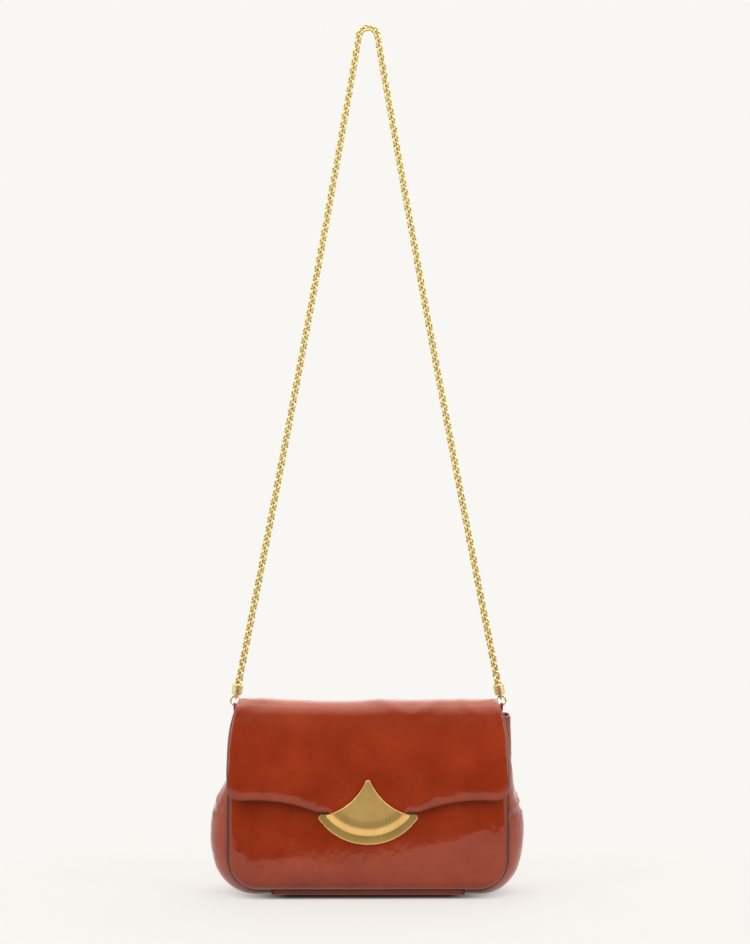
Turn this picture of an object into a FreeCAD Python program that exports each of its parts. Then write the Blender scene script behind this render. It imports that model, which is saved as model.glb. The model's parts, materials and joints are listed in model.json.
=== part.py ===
"""Chain shoulder bag: a soft leather body on a base strip, a flap that folds over the front,
a fan-shaped magnetic clasp and a link chain held by rings at the two top corners.

Millimetres. X runs to the right, Y to the back and Z up. The origin is the middle of the base,
on the surface that the bag stands on.
"""

import FreeCAD, Part
import math
import os
import Sketcher
from FreeCAD import Placement, Rotation, Vector

# Driving dimensions, each with its alias in the sheet
SIZES = [
    # Body: the front and back panels as seen from the front
    ("panel_width", 209.0),
    ("panel_bottom", 4.0),
    ("panel_thickness", 2.0),
    ("corner_radius", 32.5),
    ("seam_gap", 0.1),
    ("body_top", 134.0),
    # Body: side profile of the front panel's outer face
    ("front_foot_depth", 31.0),
    ("front_belly_depth", 40.0),
    ("front_belly_low", 30.0),
    ("front_belly_high", 90.0),
    ("front_top_depth", 22.0),
    ("front_bend_radius", 40.0),
    # Body: side profile of the back panel's outer face
    ("back_foot_depth", 31.0),
    ("back_belly_depth", 36.0),
    ("back_belly_height", 36.0),
    ("back_top_depth", 24.0),
    ("back_top_rise", 0.5),
    ("back_bend_radius", 60.0),
    # Side gussets: how far they swell past the panels, from the top down
    ("gusset_thickness", 2.0),
    ("gusset_drop", 1.0),
    ("gusset_swell_top", 1.5),
    ("gusset_swell_upper", 3.5),
    ("gusset_swell_middle", 8.5),
    ("gusset_swell_lower", 14.0),
    ("gusset_swell_corner", 10.0),
    ("gusset_swell_base", 3.6),
    # Base strip and the board that stiffens it
    ("base_edge_radius", 2.4),
    ("base_board_thickness", 1.6),
    ("base_board_margin", 4.0),
    # Lining
    ("lining_thickness", 0.8),
    ("lining_gap", 0.25),
    ("lining_drop", 1.5),
    # Flap: side profile of its inner face, then its outline from the front
    ("flap_thickness", 2.0),
    ("flap_lining_thickness", 0.7),
    ("flap_layer_gap", 0.05),
    ("flap_bead_radius", 1.4),
    ("flap_hinge_gap", 0.4),
    ("flap_rise_run", 8.0),
    ("flap_crest_rise", 9.0),
    ("flap_top_overhang", 2.0),
    ("flap_front_gap", 2.3),
    ("flap_bend_rise", 2.0),
    ("flap_rise_radius", 9.0),
    ("flap_crest_radius", 15.0),
    ("flap_bend_radius", 30.0),
    ("flap_overhang", 1.0),
    ("flap_top_inset", 8.5),
    ("flap_rear_inset", 11.2),
    ("flap_rear_depth", 6.0),
    ("flap_straight_side", 11.0),
    ("flap_corner_height", 72.0),
    ("flap_corner_radius", 9.0),
    ("flap_edge_sag", 3.2),
    # Clasp: fan on the flap, base plate on the front panel
    ("fan_half_width", 31.4),
    ("fan_rise", 28.2),
    ("fan_drop", 14.4),
    ("fan_set_up", 6.2),
    ("fan_side_radius", 60.0),
    ("fan_tip_radius", 1.5),
    ("fan_thickness", 3.6),
    ("fan_bevel", 2.6),
    ("plate_half_width", 37.2),
    ("plate_drop", 21.2),
    ("plate_bottom", 38.8),
    ("plate_ear_radius", 3.0),
    ("plate_thickness", 1.6),
    ("plate_bevel", 0.8),
    ("backplate_margin", 5.0),
    ("backplate_height", 9.0),
    ("backplate_thickness", 1.0),
    ("magnet_radius", 5.0),
    ("magnet_thickness", 1.2),
    ("magnet_fit", 0.1),
    ("magnet_margin", 1.5),
    ("rivet_radius", 1.2),
    ("rivet_head_radius", 2.0),
    ("rivet_head", 0.7),
    ("rivet_spacing", 28.0),
    ("rivet_fit", 0.1),
    # Chain anchors at the top corners
    ("tab_inset", 1.6),
    ("tab_width", 2.8),
    ("tab_leather", 1.1),
    ("tab_leg", 12.0),
    ("tab_rise", 3.4),
    ("tab_loop_play", 1.0),
    ("tab_gap", 0.3),
    ("ring_radius", 3.9),
    ("ring_wire_radius", 0.65),
    ("cap_wall", 0.4),
    ("cap_length", 11.0),
    ("cap_standoff", 1.9),
    ("cap_bore_depth", 7.0),
    ("cap_bore_play", 0.15),
    ("cap_foot_radius", 1.6),
    ("cap_collar", 1.4),
    ("cap_collar_step", 0.25),
    ("lug_thickness", 1.8),
    ("lug_play", 0.55),
    ("lug_wall", 0.9),
    ("cap_pin_radius", 0.55),
    ("cap_pin_fit", 0.05),
    # Chain
    ("chain_apex", 657.0),
    ("chain_apex_radius", 8.5),
    ("link_wire_radius", 0.7),
    ("link_play", 0.2),
    ("link_slack", 0.15),
]

X_AXIS, Y_AXIS, Z_AXIS = Vector(1, 0, 0), Vector(0, 1, 0), Vector(0, 0, 1)
# Heights, depths and widths that several pieces share, from the sizes
BACK_TOP = "( body_top + back_top_rise )"
HINGE_Y = "( back_top_depth - panel_thickness / 2 )"
FLAP_CREST = "( body_top + flap_crest_rise )"
FLAP_FRONT = "( front_top_depth + flap_top_overhang )"
FLAP_DROP = "( front_belly_depth + flap_front_gap )"
FLAP_HALF = "( panel_width / 2 + flap_overhang )"
FAN_BOTTOM = "( plate_bottom + fan_set_up )"
FAN_WING = f"( {FAN_BOTTOM} + fan_drop )"
FAN_APEX = f"( {FAN_WING} + fan_rise )"
PLATE_WING = "( plate_bottom + plate_drop )"
FLAP_FACE = f"- {FLAP_DROP} - flap_thickness"
PANEL_FACE = "- front_belly_depth"
CLASP_HEIGHT = f"( {FAN_BOTTOM} + fan_bevel + magnet_margin + magnet_radius )"
LINED = "panel_thickness + lining_gap + lining_thickness"
TAB_X = "( panel_width / 2 - tab_inset )"
TAB_Z = f"( {BACK_TOP} + tab_rise )"
BACK_SLOPE = f"( back_belly_depth - back_top_depth ) / ( {BACK_TOP} - back_belly_height )"
TAB_Y = f"( back_top_depth + {BACK_SLOPE} * ( tab_leg - tab_rise ) + tab_gap + tab_leather )"
LINK_RADIUS = "( 3 * link_wire_radius + link_play + link_slack )"
CAP_BORE = f"( {LINK_RADIUS} + link_wire_radius + cap_bore_play )"
CUP_RADIUS = f"( {CAP_BORE} + cap_wall )"
CAP_RADIUS = f"( {CUP_RADIUS} + cap_collar_step )"
LUG_EYE = "( ring_wire_radius + lug_play )"
SIDES = {"left": -1, "right": 1}
GUSSET_STEPS = 6  # sections of a gusset's straight run, and of its corner
REACH = 400.0  # longer than any piece is deep or wide, for cutters that pass right through
CUT_MARGIN = 1.0  # how far a drill starts before a face and goes past the other one
LINK_TWIST = 45  # degrees that a link is turned from the plane of the chain's loop

doc = FreeCAD.newDocument("ChainShoulderBag")
sheet = doc.addObject("Spreadsheet::Sheet", "Sizes")
for row, (alias, value) in enumerate(SIZES, start=1):
    sheet.set(f"A{row}", alias)
    sheet.set(f"B{row}", str(value))
    sheet.setAlias(f"B{row}", alias)
doc.recompute()


def size(alias):
    """The value of a cell of the sheet."""
    return float(getattr(sheet, alias))


def cells(text):
    """An expression in which every alias of the sheet is written as a cell of it."""
    names = {alias for alias, _ in SIZES}
    words = text.replace("(", " ( ").replace(")", " ) ").split()
    return " ".join(f"Sizes.{word}" if word in names else word for word in words)


def value_of(text):
    """What such an expression comes to, from the sheet."""
    return float(sheet.evalExpression(cells(text)))


def bind(thing, **expressions):
    """Ties properties of an object to the sheet."""
    for name, text in expressions.items():
        thing.setExpression(name, cells(text))


def made(kind, name, **expressions):
    """A document object whose properties are tied to the sheet."""
    thing = doc.addObject(kind, name)
    bind(thing, **expressions)
    return thing


def placed(thing, x="0", y="0", z="0", rotation=None):
    """Puts an object at a place tied to the sheet."""
    thing.Placement = Placement(Vector(), rotation or Rotation())
    for axis, text in (("x", x), ("y", y), ("z", z)):
        thing.setExpression(f"Placement.Base.{axis}", cells(text))
    return thing


def boolean(kind, name, base, tool):
    """A Part::Cut, Part::Fuse or Part::Common of two objects."""
    thing = doc.addObject(f"Part::{kind}", name)
    thing.Base = base
    thing.Tool = tool
    return thing


def fused(name, *pieces):
    thing = doc.addObject("Part::MultiFuse", name)
    thing.Shapes = list(pieces)
    return thing


def outline(sketch, corners):
    """Draws a closed outline. Each corner is (x, y, radius): radius 0 for a straight line to the next
    corner, or the radius of the arc to it, positive where the arc bows out to the left of its way."""
    points = [Vector(value_of(x), value_of(y), 0) for x, y, _ in corners]
    for index, (_, _, radius) in enumerate(corners):
        begin, end = points[index], points[(index + 1) % len(points)]
        if radius == "0":
            sketch.addGeometry(Part.LineSegment(begin, end))
        else:
            sketch.addGeometry(bowed(begin, end, value_of(radius)))
    ends = [arc_ends(curve, begin) for curve, begin in zip(sketch.Geometry, points)]
    for index, (x, y, _) in enumerate(corners):
        for kind, text in (("DistanceX", x), ("DistanceY", y)):
            number = sketch.addConstraint(Sketcher.Constraint(kind, index, ends[index][0], value_of(text)))
            sketch.setExpression(f"Constraints[{number}]", cells(text))
    for index, (_, _, radius) in enumerate(corners):
        after = (index + 1) % len(corners)
        sketch.addConstraint(Sketcher.Constraint("Coincident", index, ends[index][1], after, ends[after][0]))
        if radius != "0":
            number = sketch.addConstraint(Sketcher.Constraint("Radius", index, abs(value_of(radius))))
            sketch.setExpression(f"Constraints[{number}]", cells(radius.removeprefix("- ")))


def bowed(begin, end, radius):
    """The arc of that radius between two points, bowing to the left of the way for a positive radius."""
    half = (end - begin) / 2
    left = Vector(-half.y, half.x, 0).normalize()
    back = math.sqrt(radius * radius - half.Length * half.Length)
    centre = begin + half - left * math.copysign(back, radius)
    ends = (end, begin) if radius > 0 else (begin, end)
    first, last = [math.atan2(point.y - centre.y, point.x - centre.x) for point in ends]
    if last < first:
        last += 2 * math.pi
    return Part.ArcOfCircle(Part.Circle(centre, Z_AXIS, abs(radius)), first, last)


def arc_ends(curve, begin):
    """The sketch's numbers for a curve's end at the given point and for its other end."""
    return (1, 2) if (curve.StartPoint - begin).Length < 1e-6 else (2, 1)


def rounded_edges(name, base, radius, wanted):
    """A fillet on the edges of an object that the test picks."""
    doc.recompute()
    thing = doc.addObject("Part::Fillet", name)
    thing.Base = base
    numbers = [number for number, edge in enumerate(base.Shape.Edges, start=1) if wanted(edge)]
    thing.Edges = [(number, radius, radius) for number in numbers]
    return thing


def labelled(thing, label):
    """Marks an object as a finished sub-part."""
    thing.Label = label
    PARTS.append(thing)
    return thing


def feature(label, shape):
    """A sub-part with a shape of its own."""
    thing = doc.addObject("Part::Feature", label)
    thing.Shape = shape
    return labelled(thing, label)


PARTS = []


# Side profiles: paths in the YZ plane, from the foot up or from the hinge forward


def rounded_path(points, radii):
    """Straight runs joined by tangent arcs, through points (y, z), with a radius at each inner point."""
    places = [Vector(0, y, z) for y, z in points]
    edges, begin = [], places[0]
    for before, corner, after, radius in zip(places, places[1:], places[2:], radii):
        inward = (before - corner).normalize()
        outward = (after - corner).normalize()
        half = inward.getAngle(outward) / 2
        reach = radius / math.tan(half)
        middle = corner + (inward + outward).normalize() * (radius / math.sin(half) - radius)
        first, last = corner + inward * reach, corner + outward * reach
        edges.append(Part.LineSegment(begin, first).toShape())
        edges.append(Part.Arc(first, middle, last).toShape())
        begin = last
    edges.append(Part.LineSegment(begin, places[-1]).toShape())
    return Part.Wire(edges)


def front_path():
    """The outer face of the front panel, from its foot to its top."""
    points = [
        (-size("front_foot_depth"), size("panel_bottom")),
        (-size("front_belly_depth"), size("front_belly_low")),
        (-size("front_belly_depth"), size("front_belly_high")),
        (-size("front_top_depth"), size("body_top")),
    ]
    return rounded_path(points, [size("front_bend_radius")] * 2)


def back_path():
    """The outer face of the back panel, from its foot to its top."""
    points = [
        (size("back_foot_depth"), size("panel_bottom")),
        (size("back_belly_depth"), size("back_belly_height")),
        (size("back_top_depth"), value_of(BACK_TOP)),
    ]
    return rounded_path(points, [size("back_bend_radius")])


def hinge():
    """Y and Z of the line that the flap turns about, in the middle of its rear bead."""
    above = size("flap_hinge_gap") + size("flap_bead_radius")
    return value_of(HINGE_Y), value_of(BACK_TOP) + above


def flap_path(set_back=0.0):
    """The inner face of the flap, from the hinge, or that far past it, over the crest and down the front."""
    crest, front = value_of(FLAP_CREST), -value_of(FLAP_DROP)
    start, rise = Vector(*hinge()), Vector(value_of(HINGE_Y) - size("flap_rise_run"), crest)
    start += (rise - start).normalize() * set_back
    points = [
        (start.x, start.y),
        (rise.x, rise.y),
        (-value_of(FLAP_FRONT), crest),
        (front, size("front_belly_high") + size("flap_bend_rise")),
        (front, value_of(FAN_BOTTOM)),
    ]
    radii = [size("flap_rise_radius"), size("flap_crest_radius"), size("flap_bend_radius")]
    return rounded_path(points, radii)


def strip(path, start, thickness):
    """A sheet that follows a path at a distance from it, drawn out past both sides of the bag."""
    inner = path.makeOffset2D(start, join=0, openResult=True) if start else path
    face = inner.makeOffset2D(thickness, join=0, fill=True, openResult=True)
    face.translate(X_AXIS * -REACH)
    return face.extrude(X_AXIS * (2 * REACH))


def depth_at(path, height):
    """Y of a side profile at a height."""
    ray = Part.LineSegment(Vector(0, -REACH, height), Vector(0, REACH, height)).toShape()
    return path.distToShape(ray)[1][0][0].y


# Outlines from the front, as prisms that pass through the whole depth


def prism(edges):
    """The space behind and before a closed outline in the XZ plane."""
    face = Part.Face(Part.Wire(Part.__sortEdges__(edges)))
    face.translate(Y_AXIS * -REACH)
    return face.extrude(Y_AXIS * (2 * REACH))


def line(*ends):
    return Part.LineSegment(*[Vector(x, 0, z) for x, z in ends]).toShape()


def arc(*points):
    return Part.Arc(*[Vector(x, 0, z) for x, z in points]).toShape()


def panel_outline(inset, top):
    """Both panels from the front: straight sides and round lower corners."""
    half = size("panel_width") / 2 - inset
    low = size("panel_bottom") + inset
    radius = size("corner_radius") - inset
    middle = radius * (1 - math.sqrt(0.5))
    edges = [line((-half, top), (half, top)), line((-half + radius, low), (half - radius, low))]
    for side in SIDES.values():
        edges.append(line((side * half, top), (side * half, low + radius)))
        corner = (side * (half - middle), low + middle)
        edges.append(arc((side * half, low + radius), corner, (side * (half - radius), low)))
    return prism(edges)


def flap_outline():
    """The flap from the front: flared sides, round corners and a lower edge drawn down to a tongue."""
    top = REACH
    half = value_of(FLAP_HALF)
    half_top = half - size("flap_top_inset")
    low, radius = size("flap_corner_height"), size("flap_corner_radius")
    crest = value_of(FLAP_CREST) + 2 * size("flap_thickness")
    flare = low + radius + size("flap_straight_side")
    wing_x, wing_z = size("fan_half_width") + size("fan_bevel") / 2, value_of(FAN_WING)
    tongue = value_of(FAN_BOTTOM) + size("fan_bevel")
    edge_x = half - radius
    middle = radius * (1 - math.sqrt(0.5))
    edges = [line((-half_top, top), (half_top, top)), arc((-wing_x, wing_z), (0, tongue), (wing_x, wing_z))]
    for side in SIDES.values():
        edges.append(line((side * half_top, top), (side * half_top, crest)))
        bow = (half_top + 2 * half) / 3, (crest + flare) / 2
        edges.append(arc((side * half_top, crest), (side * bow[0], bow[1]), (side * half, flare)))
        edges.append(line((side * half, flare), (side * half, low + radius)))
        corner = (side * (half - middle), low + middle)
        edges.append(arc((side * half, low + radius), corner, (side * edge_x, low)))
        sag = ((edge_x + wing_x) / 2, (low + wing_z) / 2 + size("flap_edge_sag"))
        edges.append(arc((side * edge_x, low), (side * sag[0], sag[1]), (side * wing_x, wing_z)))
    return prism(edges)


def flap_taper():
    """The flap from above: narrower at the back, where it passes between the chain's ends."""
    half, depth = value_of(FLAP_HALF), size("flap_rear_depth")
    half_rear = half - size("flap_rear_inset")
    corners = [(-half_rear, REACH), (-half_rear, -depth), (-half, -value_of(FLAP_FRONT)), (-half, -REACH)]
    points = [Vector(x, y, -REACH) for x, y in corners]
    points += [Vector(-point.x, point.y, point.z) for point in reversed(points)]
    face = Part.Face(Part.makePolygon(points + points[:1]))
    return face.extrude(Z_AXIS * (2 * REACH))


# Leather body


def leather_panel(label, path, inward, layer, top):
    """A front or back sheet: layer 0 is the leather, layer 1 its lining."""
    lining = size("panel_thickness") + size("lining_gap")
    start, thickness = ((0.0, size("panel_thickness")), (lining, size("lining_thickness")))[layer]
    sheet_shape = strip(path, inward * start, inward * thickness)
    shape = sheet_shape.common(panel_outline(start, top))
    if label in ("front_panel", "lining_front"):
        shape = shape.cut(clasp_holes())
    return feature(label, shape)


def between_panels(clear):
    """The space between the two panels, that far inside their outer faces."""
    front = front_path().makeOffset2D(clear, join=0, openResult=True)
    back = back_path().makeOffset2D(-clear, join=0, openResult=True)
    wires = []
    for path, outward in ((front, -1), (back, 1)):
        points = [path.OrderedVertexes[0].Point, path.OrderedVertexes[-1].Point]
        low = Vector(0, points[0].y, -REACH)
        high = Vector(0, points[1].y, REACH)
        below = Part.LineSegment(low, points[0]).toShape()
        above = Part.LineSegment(points[1], high).toShape()
        wires.append((low, high, [below, *path.Edges, above]))
    ends = [Part.LineSegment(wires[0][end], wires[1][end]).toShape() for end in (0, 1)]
    face = Part.Face(Part.Wire(Part.__sortEdges__(wires[0][2] + wires[1][2] + ends)))
    face.translate(X_AXIS * -REACH)
    return face.extrude(X_AXIS * (2 * REACH))


def gusset_stations(inset):
    """Where the gusset's sections stand on the panels' outline: place (x, z), outward way and swell."""
    half = size("panel_width") / 2 - inset
    low = size("panel_bottom") + inset
    radius = size("corner_radius") - inset
    top, bend = size("body_top") - size("gusset_drop"), low + radius
    straight = ["gusset_swell_top", "gusset_swell_upper", "gusset_swell_middle", "gusset_swell_lower"]
    corner = ["gusset_swell_lower", "gusset_swell_corner", "gusset_swell_base"]
    stations = []
    for step in range(GUSSET_STEPS):
        part_way = step / GUSSET_STEPS
        stations.append(((half, top + (bend - top) * part_way), (1, 0), eased(straight, part_way)))
    for step in range(GUSSET_STEPS + 1):
        part_way = step / GUSSET_STEPS
        way = (math.cos(part_way * math.pi / 2), -math.sin(part_way * math.pi / 2))
        place = (half - radius + radius * way[0], bend + radius * way[1])
        stations.append((place, way, eased(corner, part_way)))
    return stations


def eased(aliases, part_way):
    """A value part of the way through a row of sizes, passing smoothly from each to the next."""
    along = part_way * (len(aliases) - 1)
    index = min(int(along), len(aliases) - 2)
    blend = (1 - math.cos((along - index) * math.pi)) / 2
    return size(aliases[index]) * (1 - blend) + size(aliases[index + 1]) * blend


def gusset_section(place, way, swell, thickness):
    """A crescent across the gusset, from the front panel to the back one."""
    foot = Vector(place[0], 0, place[1])
    out = Vector(way[0], 0, way[1])
    height = max(place[1], size("panel_bottom") + size("seam_gap"))
    front, back = depth_at(front_path(), height), depth_at(back_path(), height)
    curves = []
    for deep in (0.0, thickness):
        points = []
        for step in range(GUSSET_STEPS + 1):
            part_way = step / GUSSET_STEPS
            bulge = swell * 4 * part_way * (1 - part_way) - deep
            points.append(foot + Y_AXIS * (front + (back - front) * part_way) + out * bulge)
        curve = Part.BSplineCurve()
        curve.interpolate(points)
        curves.append((curve.toShape(), points[0], points[-1]))
    (outer, outer_front, outer_back), (inner, inner_front, inner_back) = curves
    ends = [(outer_back, inner_back), (inner_front, outer_front)]
    return Part.Wire([
        outer, Part.LineSegment(*ends[0]).toShape(), inner, Part.LineSegment(*ends[1]).toShape(),
    ])


def gusset(label, side, inset, thickness, clear):
    """A side sheet that swells between the panels and turns under the corner to the base strip."""
    sections = [gusset_section(*station, thickness) for station in gusset_stations(inset)]
    shell = Part.makeLoft(sections, True, False).common(between_panels(clear))
    if side < 0:
        shell = shell.mirror(Vector(), X_AXIS)
    return feature(label, shell)


def body():
    drop, back_top = size("lining_drop"), value_of(BACK_TOP)
    leather_panel("front_panel", front_path(), 1, 0, size("body_top"))
    leather_panel("back_panel", back_path(), -1, 0, back_top)
    leather_panel("lining_front", front_path(), 1, 1, size("body_top") - drop)
    leather_panel("lining_back", back_path(), -1, 1, back_top - drop)
    leather = size("panel_thickness") + size("seam_gap")
    layer = size("gusset_thickness") + 2 * size("lining_gap")
    inside = leather + size("lining_gap") + size("lining_thickness")
    for name, side in SIDES.items():
        gusset(f"gusset_{name}", side, 0.0, size("gusset_thickness"), leather)
        gusset(f"lining_gusset_{name}", side, layer, size("lining_thickness"), inside)


def base():
    """The strip that the bag stands on, the board let into it and the lining over it."""
    length = "panel_width - 2 * corner_radius - 2 * seam_gap"
    depth = "front_foot_depth + back_foot_depth - 2 * panel_thickness - 2 * seam_gap"
    front = "panel_thickness + seam_gap - front_foot_depth"
    block = placed(
        made("Part::Box", "BaseBlock", Length=length, Width=depth, Height="panel_bottom"),
        "corner_radius + seam_gap - panel_width / 2", front,
    )
    soft = rounded_edges("BaseSoftened", block, size("base_edge_radius"), is_low_front_or_back)
    board_length = f"{length} - 2 * base_board_margin"
    board_depth = f"{depth} - 2 * base_board_margin"
    corner = (
        "corner_radius + seam_gap + base_board_margin - panel_width / 2",
        f"{front} + base_board_margin",
        "panel_bottom - base_board_thickness",
    )
    sizes = {"Length": board_length, "Width": board_depth, "Height": "base_board_thickness"}
    recess = placed(made("Part::Box", "BoardRecess", **sizes), *corner)
    labelled(boolean("Cut", "BaseStrip", soft, recess), "base_strip")
    labelled(placed(made("Part::Box", "BaseBoard", **sizes), *corner), "base_board")
    lining = made("Part::Box", "LiningBase", Length=length, Width=depth, Height="lining_thickness")
    lining = placed(lining, "corner_radius + seam_gap - panel_width / 2", front, "panel_bottom")
    labelled(lining, "lining_base")


def is_low_front_or_back(edge):
    """The two long edges that a strip of leather rolls under."""
    box = edge.BoundBox
    return box.ZMax < 1e-6 and box.YLength < 1e-6


# Flap


def flap():
    shape = flap_outline().common(flap_taper()).cut(stud_holes())
    lining, gap = size("flap_lining_thickness"), size("flap_layer_gap")
    leather = size("flap_thickness") - lining - gap
    outer = strip(flap_path(), lining + gap, leather).common(shape)
    inner = strip(flap_path(size("flap_bead_radius") + gap), 0.0, lining).common(shape)
    y, z = hinge()
    half = value_of(FLAP_HALF) - size("flap_rear_inset")
    bead = Part.makeCylinder(size("flap_bead_radius"), 2 * half, Vector(-half, y, z), X_AXIS)
    feature("flap_leather", outer.fuse(bead).removeSplitter())
    feature("flap_lining", inner)


# Clasp


def bottom_radius(half_width, rise):
    """The radius of a lower edge that drops by rise between two points."""
    return f"( {half_width} * {half_width} + ( {rise} ) * ( {rise} ) ) / ( 2 * ( {rise} ) )"


def padded(name, corners, thickness, face):
    """A body padded forward from a plane across the bag, at a depth that is tied to the sheet."""
    solid = doc.addObject("PartDesign::Body", name)
    plane = next(item for item in solid.Origin.OriginFeatures if item.Role == "XZ_Plane")
    sketch = solid.newObject("Sketcher::SketchObject", f"{name}Outline")
    sketch.AttachmentSupport = (plane, [""])
    sketch.MapMode = "FlatFace"
    outline(sketch, corners)
    pad = solid.newObject("PartDesign::Pad", f"{name}Pad")
    pad.Profile = sketch
    bind(pad, Length=thickness)
    return placed(solid, y=face)


def bevelled(name, solid, half_width, drop, bottom, thickness, bevel, face):
    """A plate cut back at 45 degrees along its round lower edge, by a cone about that edge's centre."""
    radius = bottom_radius(half_width, drop)
    narrow = f"{radius} - {bevel}"
    wide = f"{narrow} + {thickness}"
    cone = made("Part::Cone", f"{name}Cone", Radius1=narrow, Radius2=wide, Height=thickness)
    placed(cone, "0", f"{face} - {thickness}", f"{bottom} + {radius}", Rotation(X_AXIS, -90))
    return boolean("Common", f"{name}Bevelled", solid, cone)


def across(name, radius, length, x, y, z):
    """A cylinder that runs from front to back."""
    thing = made("Part::Cylinder", name, Radius=radius, Height=length)
    return placed(thing, x, y, z, Rotation(X_AXIS, -90))


def pair_across(name, radius, length, y, z):
    """Two such cylinders, on either side of the middle."""
    sides = (("Left", "- rivet_spacing / 2"), ("Right", "rivet_spacing / 2"))
    return [across(f"{name}{side}", radius, length, x, y, z) for side, x in sides]


def fan():
    """The fan on the flap: concave sides, a broad bevel on its round lower edge and a seat for a magnet."""
    tip = "fan_tip_radius"
    side = "- fan_side_radius"
    solid = padded("Fan", [
        (f"- {tip}", FAN_APEX, f"{tip} * 1.5"),
        (tip, FAN_APEX, side),
        ("fan_half_width", f"{FAN_WING} + {tip}", "0"),
        ("fan_half_width", FAN_WING, bottom_radius("fan_half_width", "fan_drop")),
        ("- fan_half_width", FAN_WING, "0"),
        ("- fan_half_width", f"{FAN_WING} + {tip}", side),
    ], "fan_thickness", FLAP_FACE)
    sizes = ("fan_half_width", "fan_drop", FAN_BOTTOM, "fan_thickness", "fan_bevel")
    solid = bevelled("Fan", solid, *sizes, FLAP_FACE)
    seat = across(
        "FanSeat", "magnet_radius + magnet_fit", "magnet_thickness + magnet_fit",
        "0", f"{FLAP_FACE} - magnet_thickness - magnet_fit", CLASP_HEIGHT,
    )
    labelled(boolean("Cut", "FanSeated", solid, seat), "clasp_fan")
    front = f"{FLAP_FACE} - magnet_thickness"
    magnet = across("MagnetFlap", "magnet_radius", "magnet_thickness", "0", front, CLASP_HEIGHT)
    labelled(magnet, "clasp_magnet_flap")
    studs = pair_across("FanStud", "rivet_radius", "flap_thickness", FLAP_FACE, FAN_WING)
    labelled(fused("FanStuds", *studs), "clasp_fan_studs")


def base_plate():
    """The half-moon plate on the front panel that the fan closes on, and what holds it from inside."""
    top = f"{PLATE_WING} + 2 * plate_ear_radius"
    inner = "plate_half_width - plate_ear_radius"
    solid = padded("Plate", [
        ("plate_half_width", PLATE_WING, bottom_radius("plate_half_width", "plate_drop")),
        ("- plate_half_width", PLATE_WING, "2 * plate_ear_radius"),
        ("plate_ear_radius - plate_half_width", top, "0"),
        (inner, top, "2 * plate_ear_radius"),
    ], "plate_thickness", PANEL_FACE)
    sizes = ("plate_half_width", "plate_drop", "plate_bottom", "plate_thickness", "plate_bevel")
    labelled(bevelled("Plate", solid, *sizes, PANEL_FACE), "clasp_base_plate")
    inside = f"{PANEL_FACE} + {LINED}"
    magnet = across("MagnetFront", "magnet_radius", LINED, "0", PANEL_FACE, CLASP_HEIGHT)
    labelled(magnet, "clasp_magnet_front")
    backplate = made(
        "Part::Box", "Backplate", Length="rivet_spacing + 2 * backplate_margin", Width="backplate_thickness",
        Height="backplate_height",
    )
    left_end = "- rivet_spacing / 2 - backplate_margin"
    placed(backplate, left_end, inside, f"{CLASP_HEIGHT} - backplate_height / 2")
    hole = "rivet_radius + rivet_fit"
    holes = pair_across("BackplateHole", hole, "backplate_thickness", inside, CLASP_HEIGHT)
    pierced = boolean("Cut", "BackplatePierced", backplate, fused("BackplateHoles", *holes))
    labelled(pierced, "clasp_base_backplate")
    grip = f"{LINED} + backplate_thickness"
    shanks = pair_across("RivetShank", "rivet_radius", grip, PANEL_FACE, CLASP_HEIGHT)
    heads = pair_across(
        "RivetHead", "rivet_head_radius", "rivet_head", f"{inside} + backplate_thickness", CLASP_HEIGHT,
    )
    labelled(fused("BaseRivets", *shanks, *heads), "clasp_base_rivets")


def clasp_holes():
    """What the front panel and its lining leave open for the magnet and rivets of the base plate."""
    depth = value_of(LINED)
    height, face = value_of(CLASP_HEIGHT), value_of(PANEL_FACE)
    length = depth + 2 * CUT_MARGIN
    start = Vector(0, face - CUT_MARGIN, height)
    holes = Part.makeCylinder(size("magnet_radius") + size("magnet_fit"), length, start, Y_AXIS)
    for side in SIDES.values():
        place = start + X_AXIS * (side * size("rivet_spacing") / 2)
        holes = holes.fuse(Part.makeCylinder(size("rivet_radius") + size("rivet_fit"), length, place, Y_AXIS))
    return holes


def stud_holes():
    """What the flap leaves open for the studs of the fan."""
    face = value_of(FLAP_FACE)
    holes = []
    for side in SIDES.values():
        place = Vector(side * size("rivet_spacing") / 2, face - CUT_MARGIN, value_of(FAN_WING))
        radius = size("rivet_radius") + size("rivet_fit")
        holes.append(Part.makeCylinder(radius, size("flap_thickness") + 2 * CUT_MARGIN, place, Y_AXIS))
    return holes


# Chain anchors


def chain_lean():
    """The angle from upright of the chain's two straight runs, which leave the top bend at a tangent."""
    rise = size("chain_apex") - size("chain_apex_radius") - value_of(TAB_Z)
    run = value_of(TAB_X)
    return math.atan2(run, rise) - math.asin(size("chain_apex_radius") / math.hypot(run, rise))


def along_chain(side, distance):
    """The point that far up a straight run from the tab's loop."""
    lean = chain_lean()
    foot = Vector(side * value_of(TAB_X), value_of(TAB_Y), value_of(TAB_Z))
    return foot + Vector(-side * math.sin(lean), 0, math.cos(lean)) * distance


def run_turn(side):
    """The turn that lays an upright piece along a straight run of the chain."""
    return Rotation(Y_AXIS, -side * math.degrees(chain_lean()))


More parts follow.
